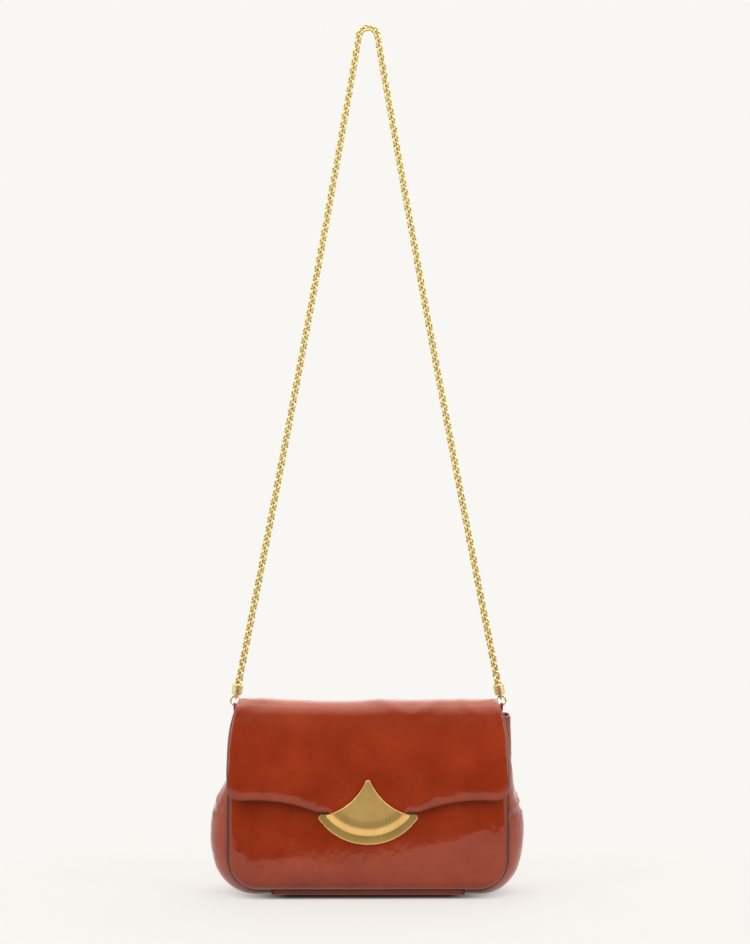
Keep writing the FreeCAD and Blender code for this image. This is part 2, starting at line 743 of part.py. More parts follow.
def tab(name, side):
    """A leather tab: a loop for the ring and a doubled leg sewn to the back panel."""
    title = name.capitalize()
    x = f"{side} * {TAB_X} - tab_width / 2"
    lying = Rotation(Y_AXIS, 90)
    inner = "ring_wire_radius + tab_loop_play"
    loop = made("Part::Cylinder", f"TabLoop{title}", Radius=f"{inner} + tab_leather", Height="tab_width")
    placed(loop, x, TAB_Y, TAB_Z, lying)
    leg = made("Part::Box", f"TabLeg{title}", Length="tab_width", Width="2 * tab_leather", Height="tab_leg")
    placed(leg, x, f"{TAB_Y} - tab_leather", f"{TAB_Z} - tab_leg")
    hole = made("Part::Cylinder", f"TabHole{title}", Radius=inner, Height="tab_width")
    placed(hole, x, TAB_Y, TAB_Z, lying)
    solid = fused(f"TabSolid{title}", loop, leg)
    labelled(boolean("Cut", f"Tab{title}", solid, hole), f"tab_{name}")


def ring(name, side):
    """A round wire ring that hangs in the tab and carries the end cap, in line with the chain's pull."""
    title = f"Ring{name.capitalize()}"
    thing = made("Part::Torus", title, Radius1="ring_radius", Radius2="ring_wire_radius")
    thing.Placement = Placement(along_chain(side, size("ring_radius")), Rotation(X_AXIS, 90))
    labelled(thing, f"ring_{name}")


def end_cap(name, side):
    """A turned cup with a collar at its mouth, an eye below for the ring and a hole for the chain's pin."""
    title = name.capitalize()
    eye_wall = f"( {LUG_EYE} + lug_wall )"
    cup = made("Part::Cylinder", f"Cup{title}", Radius=CUP_RADIUS, Height="cap_length")
    placed(cup, z="cap_standoff")
    collar = made("Part::Cylinder", f"Collar{title}", Radius=CAP_RADIUS, Height="cap_collar")
    placed(collar, z="cap_standoff + cap_length - cap_collar")
    lug = made("Part::Cylinder", f"Lug{title}", Radius=eye_wall, Height="lug_thickness")
    placed(lug, "- lug_thickness / 2", rotation=Rotation(Y_AXIS, 90))
    neck = made(
        "Part::Box", f"Neck{title}", Length="lug_thickness", Width=f"2 * {eye_wall}",
        Height="cap_standoff + lug_wall",
    )
    placed(neck, "- lug_thickness / 2", f"- {eye_wall}")
    foot = rounded_edges(f"CupFoot{title}", cup, size("cap_foot_radius"), is_low_circle)
    solid = fused(f"CapSolid{title}", foot, collar, neck, lug)
    mouth = made("Part::Cylinder", f"Mouth{title}", Radius=CAP_BORE, Height="cap_bore_depth")
    placed(mouth, z="cap_standoff + cap_length - cap_bore_depth")
    eyelet = made("Part::Cylinder", f"Eyelet{title}", Radius=LUG_EYE, Height="2 * lug_thickness")
    level = run_turn(side).inverted().multiply(Rotation(Y_AXIS, 90))
    eyelet.Placement = Placement(level.multVec(Z_AXIS * -size("lug_thickness")), level)
    drilled = "cap_pin_radius + cap_pin_fit"
    drill = made("Part::Cylinder", f"Drill{title}", Radius=drilled, Height=f"2 * {CAP_RADIUS}")
    drill.Placement = pin_placement(side, Placement())
    cap = boolean("Cut", f"Cap{title}", solid, fused(f"CapOpenings{title}", mouth, eyelet, drill))
    cap.Placement = Placement(along_chain(side, 2 * size("ring_radius")), run_turn(side))
    labelled(cap, f"end_cap_{name}")
    pin = made("Part::Cylinder", f"Pin{title}", Radius="cap_pin_radius", Height=f"2 * {CUP_RADIUS}")
    pin.Placement = pin_placement(side, cap.Placement, size("cap_collar_step"))
    return pin


def is_low_circle(edge):
    """The round edge at the foot of a cup."""
    return edge.BoundBox.ZLength < 1e-6 and edge.BoundBox.ZMax < size("cap_standoff") + 1e-6


def first_link():
    """How far up from the ring's upper wire the middle of the first link lies, down in its cup."""
    clear = value_of(LINK_RADIUS) + size("link_wire_radius") + size("link_play")
    return size("cap_standoff") + size("cap_length") - size("cap_bore_depth") + clear


def pin_placement(side, cap, inset=0.0):
    """A pin through the lower half of the first link, along the axis of that link."""
    turn = LINK_TURNS[side]
    above = size("link_wire_radius") + size("cap_pin_radius") + size("link_play")
    height = first_link() - value_of(LINK_RADIUS) + above
    lying = Rotation(Z_AXIS, turn).multiply(Rotation(X_AXIS, 90))
    start = lying.multVec(Vector(0, 0, inset - value_of(CAP_RADIUS)))
    return cap.multiply(Placement(Vector(0, 0, height) + start, lying))


# Chain


def chain_line():
    """The chain's centre line: its two straight runs, the bend at the top and the number of links."""
    lean, bend = chain_lean(), size("chain_apex_radius")
    begin = 2 * size("ring_radius") + first_link()
    rise = size("chain_apex") - bend - value_of(TAB_Z)
    straight = math.sqrt(value_of(TAB_X) ** 2 + rise ** 2 - bend ** 2) - begin
    turn = bend * (math.pi - 2 * lean)
    pitch = 2 * (value_of(LINK_RADIUS) - size("link_wire_radius")) - size("link_play")
    steps = math.ceil((2 * straight + turn) / pitch)
    return begin, straight, turn, steps


def chain_place(distance):
    """The point at a distance along the centre line and the angle there from upright, leaning right."""
    begin, straight, turn, _ = chain_line()
    lean, bend = chain_lean(), size("chain_apex_radius")
    if distance <= straight:
        return along_chain(-1, begin + distance), lean
    if distance >= straight + turn:
        return along_chain(1, begin + 2 * straight + turn - distance), math.pi - lean
    angle = lean + (distance - straight) / bend
    middle = Vector(0, value_of(TAB_Y), size("chain_apex") - bend)
    return middle + Vector(-math.cos(angle), 0, math.sin(angle)) * bend, angle


def chain():
    """Round links, each at right angles to its neighbours, from one end cap over the top to the other."""
    _, straight, turn, steps = chain_line()
    link = Part.makeTorus(value_of(LINK_RADIUS), size("link_wire_radius"))
    link.Placement = Placement(Vector(), Rotation(X_AXIS, 90))
    links = []
    for index in range(steps + 1):
        place, angle = chain_place((2 * straight + turn) * index / steps)
        twist = Rotation(Z_AXIS, link_turn(index))
        turned = Rotation(Y_AXIS, math.degrees(angle)).multiply(twist)
        copy = link.copy()
        copy.Placement = Placement(place, turned).multiply(copy.Placement)
        links.append(copy)
    feature("chain_links", Part.makeCompound(links))


def link_turn(index):
    """How far a link is turned about the chain's line."""
    return LINK_TWIST if index % 2 else -LINK_TWIST


def build_check():
    """Stops before anything is written if an object failed or a sub-part isn't a sound solid."""
    doc.recompute()
    for thing in doc.Objects:
        if "Invalid" in thing.State or "Error" in thing.State:
            raise RuntimeError(f"{thing.Name} failed: {thing.State}")
    for thing in PARTS:
        shape = thing.Shape
        if shape.isNull() or not shape.isValid() or not shape.Solids:
            raise RuntimeError(f"{thing.Label} has no sound solid")


# The first link on the right lies the other way up, at the far end of the line
LINK_TURNS = {-1: link_turn(0), 1: -link_turn(chain_line()[3])}

body()
base()
flap()
fan()
base_plate()
pins = []
for word, sign in SIDES.items():
    tab(word, sign)
    ring(word, sign)
    pins.append(end_cap(word, sign))
labelled(fused("CapPins", *pins), "end_cap_pins")
chain()
build_check()
os.makedirs("parts", exist_ok=True)
for part in PARTS:
    part.Shape.exportStep(f"parts/{part.Label}.step")
_, straight_run, top_bend, link_steps = chain_line()
outer_radius = value_of(LINK_RADIUS) * math.sqrt(0.5) + size("link_wire_radius")
whole_run = 2 * straight_run + top_bend
print(f"chain: radius {outer_radius:.2f} mm, {whole_run:.0f} mm long, {link_steps + 1} links")
print(f"top bend: radius {size('chain_apex_radius'):.1f} mm")
print(f"lean of the runs: {math.degrees(chain_lean()):.2f} degrees")
for sign in SIDES.values():
    print("ring pivots:", along_chain(sign, 0), along_chain(sign, 2 * size("ring_radius")))
print("flap hinge:", hinge())
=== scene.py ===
"""Looks of the chain shoulder bag: creased patent leather, satin brass clasp and a gold link chain.

Shapes are worked out in millimetres, in the part's own frame, and turned into metres when a mesh is made.
"""

import json
import math

import bmesh
import bpy
import numpy as np
from mathutils import Matrix, Vector, noise
from mathutils.bvhtree import BVHTree

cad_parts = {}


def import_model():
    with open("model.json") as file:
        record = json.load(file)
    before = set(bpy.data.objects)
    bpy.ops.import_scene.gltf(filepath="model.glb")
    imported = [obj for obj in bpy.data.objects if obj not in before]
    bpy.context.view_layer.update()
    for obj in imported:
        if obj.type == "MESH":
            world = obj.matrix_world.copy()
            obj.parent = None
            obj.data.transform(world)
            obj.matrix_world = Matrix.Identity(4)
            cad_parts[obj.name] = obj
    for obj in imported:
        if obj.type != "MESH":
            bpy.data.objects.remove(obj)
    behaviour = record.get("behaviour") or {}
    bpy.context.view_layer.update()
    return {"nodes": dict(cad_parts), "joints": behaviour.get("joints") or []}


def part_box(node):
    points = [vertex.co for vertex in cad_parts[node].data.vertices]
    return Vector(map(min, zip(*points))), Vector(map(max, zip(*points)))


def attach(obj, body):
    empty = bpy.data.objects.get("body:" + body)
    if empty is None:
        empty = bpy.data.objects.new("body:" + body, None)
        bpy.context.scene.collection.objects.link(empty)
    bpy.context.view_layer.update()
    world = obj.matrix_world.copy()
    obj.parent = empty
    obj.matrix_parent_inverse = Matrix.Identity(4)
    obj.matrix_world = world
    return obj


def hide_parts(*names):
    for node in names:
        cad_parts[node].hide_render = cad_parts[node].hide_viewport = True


MM = 0.001
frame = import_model()


# Frame: sizes that the shapes below follow


def box_mm(node):
    """Lowest and highest corners of a CAD node, in millimetres."""
    low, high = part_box(node)
    return np.array(low) / MM, np.array(high) / MM


def joint_mm(name):
    """Where a joint's axis passes, in millimetres."""
    joint = next(item for item in frame["joints"] if item["name"] == name)
    return np.array(joint["pos_m"]) / MM


FRONT_LOW, FRONT_HIGH = box_mm("front_panel")
BACK_TOP = box_mm("back_panel")[1][2]
FLAP_LOW, FLAP_HIGH = box_mm("flap_leather")
FAN_LOW, FAN_HIGH = box_mm("clasp_fan")
PLATE_LOW, PLATE_HIGH = box_mm("clasp_base_plate")
STRIP_HIGH = box_mm("base_strip")[1]
HINGE = joint_mm("flap_open")
RING_MIDDLE = sum(box_mm("ring_right")) / 2
TAB = np.array([sum(box_mm("tab_right"))[0] / 2, *joint_mm("rings_swing")[1:]])
RING_TOP = 2 * RING_MIDDLE - TAB
PANEL_HALF = FRONT_HIGH[0]
PANEL_BOTTOM = FRONT_LOW[2]
SEAM_X = STRIP_HIGH[0]
CORNER = 24.0
LEATHER = 2.0
SIDES = {"left": -1, "right": 1}
# Stand in for 0 under a length, for a point on an axis and for no edge nearby
TINY = 1e-9
ON_AXIS = 0.001
FAR = 1000.0


# Small maths


def smooth(low, high, value):
    """0 below low, 1 above high and an even passage between them."""
    part = np.clip((np.asarray(value, float) - low) / (high - low), 0, 1)
    return part * part * (3 - 2 * part)


def bump(value, middle, width):
    """A bell of height 1 about a middle."""
    return np.exp(-(((np.asarray(value, float) - middle) / width) ** 2))


def ripple(points, wavelength, seed, stretch=(1, 1, 1)):
    """Even noise from -1 to 1 at points in millimetres, drawn out along each axis by stretch."""
    scale = np.array(stretch, float) * wavelength
    flat = points.reshape(-1, 3) / scale + seed * 17.3
    return np.array([noise.noise(Vector(place)) for place in flat]).reshape(points.shape[:-1])


def rolled(distance, width, depth):
    """How far a sheet falls back at a distance from its edge, on a quarter of an ellipse."""
    part = 1 - np.clip(np.asarray(distance, float), 0, width) / width
    return depth * (1 - np.sqrt(np.clip(1 - part * part, 0, 1)))


def spread(columns, share=1.0):
    """Places from -1 to 1 that come closer together towards the ends."""
    turn = math.pi / 2 * share
    return np.sin(np.linspace(-1, 1, columns) * turn) / math.sin(turn)


def unit(way):
    """A way of length 1."""
    return way / np.linalg.norm(way)


def rounded_path(corners, radii, step=0.5):
    """Points along straight runs joined by tangent arcs, through corners in a plane."""
    corners = [np.array(corner, float) for corner in corners]
    points = [corners[0]]
    for before, corner, after, radius in zip(corners, corners[1:], corners[2:], radii):
        back = unit(before - corner)
        ahead = unit(after - corner)
        half = math.acos(np.clip(back @ ahead, -1, 1)) / 2
        bisector = unit(back + ahead)
        centre = corner + bisector * radius / math.sin(half)
        across = unit(ahead - back)
        turn = math.pi - 2 * half
        for part in np.linspace(0, 1, max(4, int(radius * turn / step))):
            angle = (part - 0.5) * turn
            side = across * math.sin(angle) - bisector * math.cos(angle)
            points.append(centre + side * radius)
    points.append(corners[-1])
    dense = [points[0]]
    for begin, end in zip(points, points[1:]):
        count = max(1, int(np.linalg.norm(end - begin) / step))
        dense += [begin + (end - begin) * (index + 1) / count for index in range(count)]
    return np.array(dense)


# Meshes


def added(name, data):
    """A new object in the scene."""
    piece = bpy.data.objects.new(name, data)
    bpy.context.scene.collection.objects.link(piece)
    return piece


def linked(name, mesh, body, slot, look, *nodes):
    """A new object of one material in place of CAD nodes, moving with a body."""
    piece = added(f"{name}_shown", mesh)
    for polygon in mesh.polygons:
        polygon.use_smooth = True
    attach(piece, body)
    if nodes:
        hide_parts(*nodes)
    return dressed(piece, look)


def mesh_from(name, points, faces):
    """A mesh from points in millimetres, with its faces turned outward."""
    mesh = bpy.data.meshes.new(name)
    mesh.from_pydata([tuple(point * MM) for point in points], [], faces)
    edit = bmesh.new()
    edit.from_mesh(mesh)
    bmesh.ops.recalc_face_normals(edit, faces=edit.faces)
    edit.to_mesh(mesh)
    edit.free()
    return mesh


def grid_normals(grid):
    """Unit normals of a grid of points."""
    along = np.gradient(grid, axis=0)
    across = np.gradient(grid, axis=1)
    normals = np.cross(along, across)
    length = np.linalg.norm(normals, axis=2, keepdims=True)
    return normals / np.maximum(length, TINY)


def rim_places(rows, columns):
    """The border of a grid as (row, column), in order round it."""
    rim = [(0, column) for column in range(columns)]
    rim += [(row, columns - 1) for row in range(1, rows)]
    rim += [(rows - 1, column) for column in range(columns - 2, -1, -1)]
    rim += [(row, 0) for row in range(rows - 2, 0, -1)]
    return rim


def two_sided_faces(rows, columns):
    """Faces of a grid of points and of a second grid that is numbered after it."""
    faces = []
    for row in range(rows - 1):
        for column in range(columns - 1):
            quad = [row * columns + column, row * columns + column + 1]
            quad += [quad[1] + columns, quad[0] + columns]
            faces.append(quad)
            faces.append([index + rows * columns for index in reversed(quad)])
    return faces


def shell(name, outer, thickness, inward, **layers):
    """A closed sheet with round rims, from its outer face and the way to its inner one.

    Layers go from 0 to 1: shade is painted shade, how dark the leather is made at seams, creases and edges
    where shade falls (on the flap's edges also edge dye), and haze how far its gloss is dulled by wear.
    """
    rows, columns, _ = outer.shape
    normals = grid_normals(outer)
    facing = np.sign(np.sum(normals * inward, axis=2, keepdims=True))
    normals = normals * np.where(facing == 0, 1, facing)
    inner = outer + normals * thickness
    middle = (outer + inner) / 2
    points = [*outer.reshape(-1, 3), *inner.reshape(-1, 3)]
    rim = rim_places(rows, columns)
    for row, column in rim:
        inside = middle[min(max(row, 1), rows - 2), min(max(column, 1), columns - 2)]
        out = middle[row, column] - inside
        out = out / max(np.linalg.norm(out), TINY)
        points.append(middle[row, column] + out * thickness / 2)
    count = rows * columns
    faces = two_sided_faces(rows, columns)
    places = [row * columns + column for row, column in rim]
    for index, here in enumerate(places):
        following = (index + 1) % len(places)
        there = places[following]
        edge, next_edge = 2 * count + index, 2 * count + following
        faces.append([here, edge, next_edge, there])
        faces.append([edge, here + count, there + count, next_edge])
    mesh = mesh_from(name, points, faces)
    for layer_name, values in layers.items():
        rim_values = [values[place] for place in rim]
        made = mesh.attributes.new(layer_name, "FLOAT", "POINT")
        made.data.foreach_set("value", np.concatenate([values.ravel(), values.ravel(), rim_values]))
    return mesh


def softened(piece):
    """Smooths a piece by one level of subdivision."""
    modifier = piece.modifiers.new("soft", "SUBSURF")
    modifier.levels = modifier.render_levels = 1
    return piece


def band(low, high, segments):
    """Faces between two rings of as many points, given by their places among the rings."""
    faces = []
    for segment in range(segments):
        following = (segment + 1) % segments
        first, second = low * segments, high * segments
        faces.append([first + segment, first + following, second + following, second + segment])
    return faces


def lathe(profile, segments):
    """Points and faces turned about Z from (radius, height) places."""
    points, faces = [], []
    for radius, height in profile:
        for segment in range(segments):
            angle = 2 * math.pi * segment / segments
            points.append(np.array([radius * math.cos(angle), radius * math.sin(angle), height]))
    for ring in range(len(profile) - 1):
        faces += band(ring, ring + 1, segments)
    return points, faces


# Materials


def material(name):
    """A node material, its tree and its principled shader."""
    made = bpy.data.materials.new(name)
    made.use_nodes = True
    return made, made.node_tree, made.node_tree.nodes["Principled BSDF"]


def joined(tree, value, socket):
    """Sets a socket to a number or a colour, or links another node's output to it."""
    if isinstance(value, bpy.types.NodeSocket):
        tree.links.new(value, socket)
    else:
        socket.default_value = value


def shaded(tree, node, **values):
    """Sets or links a node's sockets by name, with _ for a space."""
    for key, value in values.items():
        joined(tree, value, node.inputs[key.replace("_", " ")])


def new_node(tree, kind, **values):
    """A new node with its sockets set or linked by name."""
    node = tree.nodes.new(f"ShaderNode{kind}")
    shaded(tree, node, **values)
    return node


def computed(tree, operation, *values):
    """The output of a maths node on numbers and outputs."""
    node = new_node(tree, "Math")
    node.operation = operation
    for value, socket in zip(values, node.inputs):
        joined(tree, value, socket)
    return node.outputs[0]


def mixed(tree, factor, first, second, kind="FLOAT", blend="MIX"):
    """The output of a mix node between two numbers or colours."""
    node = new_node(tree, "Mix")
    node.data_type = kind
    node.blend_type = blend
    shaded(tree, node, Factor=factor, A=first, B=second)
    return node.outputs["Result"]


def layer(tree, name):
    """A layer of the mesh as an output."""
    node = new_node(tree, "Attribute")
    node.attribute_name = name
    return node.outputs["Fac"]


def textured(tree, kind, scale, stretch=(1, 1, 1), **values):
    """A texture in object coordinates, with scale in cells per metre."""
    place = new_node(tree, "TexCoord").outputs["Object"]
    mapping = new_node(tree, "Mapping", Vector=place, Scale=stretch)
    return new_node(tree, f"Tex{kind}", Vector=mapping.outputs["Vector"], Scale=scale, **values)


def ramped(tree, source, stops):
    """A colour ramp on an output, with stops (position, colour)."""
    ramp = new_node(tree, "ValToRGB", Fac=source)
    for _ in stops[2:]:
        ramp.color_ramp.elements.new(0.5)
    for element, (position, colour) in zip(ramp.color_ramp.elements, stops):
        element.position = position
        element.color = (*colour, 1)
    return ramp.outputs["Color"]


def grey(value):
    """A colour without hue."""
    return (value, value, value)


def varied(tree, texture, low, high):
    """Low to high over the common range of a noise, for colours or numbers."""
    if not isinstance(low, tuple):
        low, high = grey(low), grey(high)
    return ramped(tree, texture.outputs["Fac"], [(0.3, low), (0.7, high)])


def bumped(tree, shader, layers):
    """Bumps one after another on a shader: (height output, strength, distance in metres)."""
    normal = None
    for height, strength, distance in layers:
        node = new_node(tree, "Bump", Strength=strength, Distance=distance, Height=height)
        if normal:
            shaded(tree, node, Normal=normal)
        normal = node.outputs["Normal"]
    shaded(tree, shader, Normal=normal)


def patent_leather():
    """Glossy rust-red leather with fine creases, darkened by painted shade at its seams and duller there.
    """
    made, tree, shader = material("patent_leather")
    cloud = textured(tree, "Noise", 28, Detail=5, Roughness=0.55)
    colour = ramped(tree, cloud.outputs["Fac"], [
        (0.28, (0.262, 0.0255, 0.0065)),
        (0.52, (0.326, 0.0362, 0.0098)),
        (0.78, (0.388, 0.0500, 0.0145)),
    ])
    # The shade layer mixes painted shade into the base colour and makes the leather rougher there
    seam = layer(tree, "shade")
    colour = mixed(tree, seam, colour, (0.050, 0.004, 0.002, 1), "RGBA")
    gloss = varied(tree, textured(tree, "Noise", 90, Detail=4), 0.05, 0.10)
    rough = mixed(tree, layer(tree, "haze"), mixed(tree, seam, gloss, 0.75), 0.28)
    shaded(tree, shader, Base_Color=colour, Roughness=rough)
    shaded(tree, shader, Specular_IOR_Level=0.62, Specular_Tint=(1.0, 0.88, 0.76, 1))
    crackle = textured(tree, "Voronoi", 900, (1, 1, 0.7))
    crackle.feature = "DISTANCE_TO_EDGE"
    cells = ramped(tree, crackle.outputs["Distance"], [(0.0, grey(0)), (0.16, grey(1))])
    crinkle = textured(tree, "Noise", 240, (1.1, 1, 0.8), Detail=2, Roughness=0.5)
    swell = textured(tree, "Noise", 45, Detail=3)
    bumped(tree, shader, [
        (swell.outputs["Fac"], 0.25, 0.0012),
        (crinkle.outputs["Fac"], 0.24, 0.0005),
        (cells, 0.04, 0.0002),
    ])
    return made


def lining_cloth():
    """Brown woven cloth."""
    made, tree, shader = material("lining_cloth")
    weave = textured(tree, "Wave", 700)
    cross = textured(tree, "Wave", 700)
    cross.bands_direction = "Z"
    threads = computed(tree, "MULTIPLY", weave.outputs["Fac"], cross.outputs["Fac"])
    colour = ramped(tree, threads, [(0.0, (0.20, 0.115, 0.07)), (0.6, (0.34, 0.21, 0.13))])
    shaded(tree, shader, Base_Color=colour, Roughness=0.85)
    bumped(tree, shader, [(threads, 0.5, 0.0002)])
    return made


def antique_brass():
    """Satin brass, brushed and a little darkened."""
    made, tree, shader = material("antique_brass")
    patina = textured(tree, "Noise", 70, Detail=6, Roughness=0.6)
    colour = ramped(tree, patina.outputs["Fac"], [
        (0.30, (0.86, 0.55, 0.170)),
        (0.55, (0.94, 0.62, 0.205)),
        (0.80, (0.97, 0.68, 0.250)),
    ])
    grain = textured(tree, "Noise", 900, (1, 1, 0.12), Detail=3)
    rough = varied(tree, grain, 0.28, 0.34)
    shaded(tree, shader, Base_Color=colour, Roughness=rough, Metallic=0.82)
    bumped(tree, shader, [(grain.outputs["Fac"], 0.05, 0.0001)])
    return made


def gold_brass(name, rough):
    """Yellow brass with a trace of wear, from polished to satin."""
    made, tree, shader = material(name)
    wear = textured(tree, "Noise", 400, Detail=4)
    colour = varied(tree, wear, (0.79, 0.64, 0.29), (0.89, 0.75, 0.39))
    rough = varied(tree, wear, rough, rough + 0.12)
    shaded(tree, shader, Base_Color=colour, Roughness=rough, Metallic=0.92)
    bumped(tree, shader, [(wear.outputs["Fac"], 0.05, 0.0001)])
    return made


def plated_steel():
    """The magnets' bright plating."""
    made, tree, shader = material("magnet_steel")
    colour = varied(tree, textured(tree, "Noise", 300, Detail=3), 0.45, 0.6)
    shaded(tree, shader, Base_Color=colour, Roughness=0.3, Metallic=1)
    return made


def stiffener_board():
    """Dark flecked board."""
    made, tree, shader = material("stiffener")
    fleck = textured(tree, "Noise", 500, Detail=4)
    colour = varied(tree, fleck, (0.10, 0.08, 0.06), (0.2, 0.16, 0.13))
    shaded(tree, shader, Base_Color=colour, Roughness=0.9)
    return made


LEATHER_LOOK = patent_leather()
CLOTH_LOOK = lining_cloth()
ANTIQUE_LOOK = antique_brass()
GOLD_LOOK = gold_brass("gold_brass", 0.20)
SATIN_LOOK = gold_brass("satin_brass", 0.40)
STEEL_LOOK = plated_steel()
BOARD_LOOK = stiffener_board()


def dressed(piece, look):
    """A piece with one material."""
    piece.data.materials.clear()
    piece.data.materials.append(look)
    return piece


def leather(name, mesh, body="bag"):
    """A soft leather piece in place of the CAD node of its name."""
    return softened(linked(name, mesh, body, "patent_leather", LEATHER_LOOK, name))


def cloth(name, mesh, body="bag"):
    """A soft cloth piece in place of the CAD node of its name."""
    return softened(linked(name, mesh, body, "lining_cloth", CLOTH_LOOK, name))


# Leather body


def profile_at(node, side, x):
    """Y of a panel's outer face by height, read off its CAD solid along a line up the panel."""
    solid = frame["nodes"][node].data
    corners = [vertex.co for vertex in solid.vertices]
    tree = BVHTree.FromPolygons(corners, [polygon.vertices for polygon in solid.polygons])
    low, high = box_mm(node)
    heights = np.linspace(low[2] + 0.2, high[2] - 0.2, 120)
    depths = []
    for height in heights:
        start = Vector((x * MM, side, height * MM))
        hit = tree.ray_cast(start, Vector((0, -side, 0)))
        depths.append(hit[0].y / MM)
    return lambda z: np.interp(z, heights, depths)


# Beside the clasp, where nothing stands on the panels
PROFILE_X = 60.0
front_depth = profile_at("front_panel", -1, PROFILE_X)
back_depth = profile_at("back_panel", 1, PROFILE_X)
PANEL_LEAN = 3.0
PANEL_LEAN_FROM = 92.0


def lean(z):
    """How far a panel's sides draw in towards its top."""
    return PANEL_LEAN * smooth(PANEL_LEAN_FROM, FRONT_HIGH[2], z)


def panel_half(z, inset):
    """Half the width of a panel at a height: sides that draw in, round lower corners."""
    low, radius = PANEL_BOTTOM + inset, CORNER - inset
    drop = np.clip(low + radius - np.asarray(z, float), 0, radius)
    return PANEL_HALF - lean(z) - inset - radius + np.sqrt(np.maximum(radius * radius - drop * drop, 0))


def edge_distance(x, z):
    """Distance to a panel's side and bottom edges."""
    half = PANEL_HALF - lean(z)
    inside_x, inside_z = np.abs(x) - (half - CORNER), (PANEL_BOTTOM + CORNER) - z
    in_corner = (inside_x > 0) & (inside_z > 0)
    straight = np.minimum(half - np.abs(x), z - PANEL_BOTTOM)
    return np.where(in_corner, CORNER - np.hypot(inside_x, inside_z), straight)


SEAM_ROLL = 5.0
SEAM_ROLL_WIDTH = 6.5
# Height of the front panel's belly across the bag
BELLY = [(-105, 46), (-93, 26), (-80, 18), (-40, 21), (10, 25), (36, 36), (70, 46), (105, 56)]
PANEL_SETTLE = 2.6
SETTLE_RUN = 45.0
FOOT_DEPTH = 8.0
PANEL_PUFF = 0.6
PUFF_RUN = 22.0
# Heights over which the front leaves its belly for the solid's face, the padding ends and the foot ends
FRONT_RETURN = (78, 100)
PUFF_END = (95, 125)
FOOT_END = (10, 26)
SEAM_NEAR = 9.0
# Painted shade at the seams: how dark it is at most and over what width it fades
SEAM_DARK = 0.92
SEAM_WIDTH = 1.5
# How much lighter the painted seam shade along the foot is than the painted shade at the seams at the
# sides
FOOT_LIGHT = 0.65
CLASP_HALF = 50.0


def eased(stops, place, reach):
    """Values at places between stops, with the corners smoothed over a reach to each side."""
    at, values = zip(*stops)
    near = np.asarray(place, float)[..., None] + np.linspace(-reach, reach, 9)
    return np.mean(np.interp(near, at, values), axis=-1)


def clasp_seat(x):
    """1 across the clasp, where the flap lies flat, and 0 away from it."""
    return np.exp(-((x / CLASP_HALF) ** 6))


def front_face(x, z):
    """Y of the front panel: a belly that rides higher on the right, round below and leaning back above."""
    x, z = np.asarray(x, float), np.asarray(z, float)
    belly = eased(BELLY, x, 9)
    settle = PANEL_SETTLE * (1 - 0.4 * clasp_seat(x))
    above = settle * (np.maximum(z - belly, 0) / SETTLE_RUN) ** 1.4
    share = np.clip((belly - z) / (belly - PANEL_BOTTOM), 0, 1)
    below = FOOT_DEPTH * (1 - np.sqrt(1 - share ** 2))
    face = FRONT_LOW[1] + np.maximum(above, below)
    return face + (np.maximum(face, front_depth(z)) - face) * smooth(*FRONT_RETURN, z)


def panel_grid(side, inset, top, rows, columns):
    """The face of a panel as a grid, before it is sculpted: side -1 is the front.

    Its rows are closer together round the lower corners.
    """
    bottom, part = PANEL_BOTTOM + inset, np.linspace(0, 1, rows)
    heights = bottom + (top - bottom) * (0.25 * part + 0.75 * part ** 1.8)
    across = spread(columns, 0.86)
    z = np.repeat(heights[:, None], columns, axis=1)
    x = across[None, :] * panel_half(heights, inset)[:, None]
    y = (front_face(x, z) if side < 0 else back_depth(z)) - side * inset
    return np.stack([x, y, z], axis=2)


def seam_shade(distance):
    """How dark the painted shade makes the leather at a distance from a seam."""
    return SEAM_DARK * bump(np.maximum(distance, 0), 0, SEAM_WIDTH)


def leather_panel(name, side, top, seed):
    """A front or back panel: pillowed, rolled in at its seams and gently uneven."""
    grid = panel_grid(side, 0.0, top, 90, 120)
    x, z = grid[..., 0], grid[..., 2]
    distance = np.maximum(edge_distance(x, z), 0)
    near_seam = np.exp(-distance / SEAM_NEAR)
    puff = PANEL_PUFF * (1 - np.exp(-distance / PUFF_RUN)) * (1 - smooth(*PUFF_END, z))
    fall = rolled(distance, SEAM_ROLL_WIDTH, SEAM_ROLL)
    waves = 0.35 * ripple(grid, 38, seed) + 0.16 * ripple(grid, 14, seed + 1, (1, 1, 0.7))
    pucker = 0.30 * near_seam * ripple(grid, 5, seed + 2)
    free = 1 - clasp_seat(x) if side < 0 else 1.0
    grid[..., 1] += side * (puff * free - fall + waves * (1 - near_seam) * free + pucker)
    foot = 1 - smooth(*FOOT_END, z)
    # Painted shade along the panel's seams, lighter along its foot
    shade = seam_shade(distance) * (1 - FOOT_LIGHT * foot)
    return leather(name, shell(name, grid, LEATHER, np.array([0, -side, 0]), shade=shade))


# Gussets

GUSSET_TOP = box_mm("gusset_right")[1][2]
GUSSET_STRAIGHT = GUSSET_TOP - PANEL_BOTTOM - CORNER
GUSSET_TURN = CORNER * math.pi / 2
GUSSET_RUN = GUSSET_STRAIGHT + GUSSET_TURN + PANEL_HALF - CORNER - SEAM_X


def gusset_line(part, inset):
    """Place (x, z) and way out on the panels' outline, from the gusset's top (0) to the base seam (1)."""
    along = part * GUSSET_RUN
    if along <= GUSSET_STRAIGHT:
        z = GUSSET_TOP - along
        return (PANEL_HALF - inset - float(lean(z)), z), (1.0, 0.0)
    centre = PANEL_HALF - CORNER, PANEL_BOTTOM + CORNER
    angle = min((along - GUSSET_STRAIGHT) / CORNER, math.pi / 2)
    past = max(along - GUSSET_STRAIGHT - GUSSET_TURN, 0)
    way = (math.cos(angle), -math.sin(angle))
    radius = CORNER - inset
    return (centre[0] + radius * way[0] - past, centre[1] + radius * way[1]), way


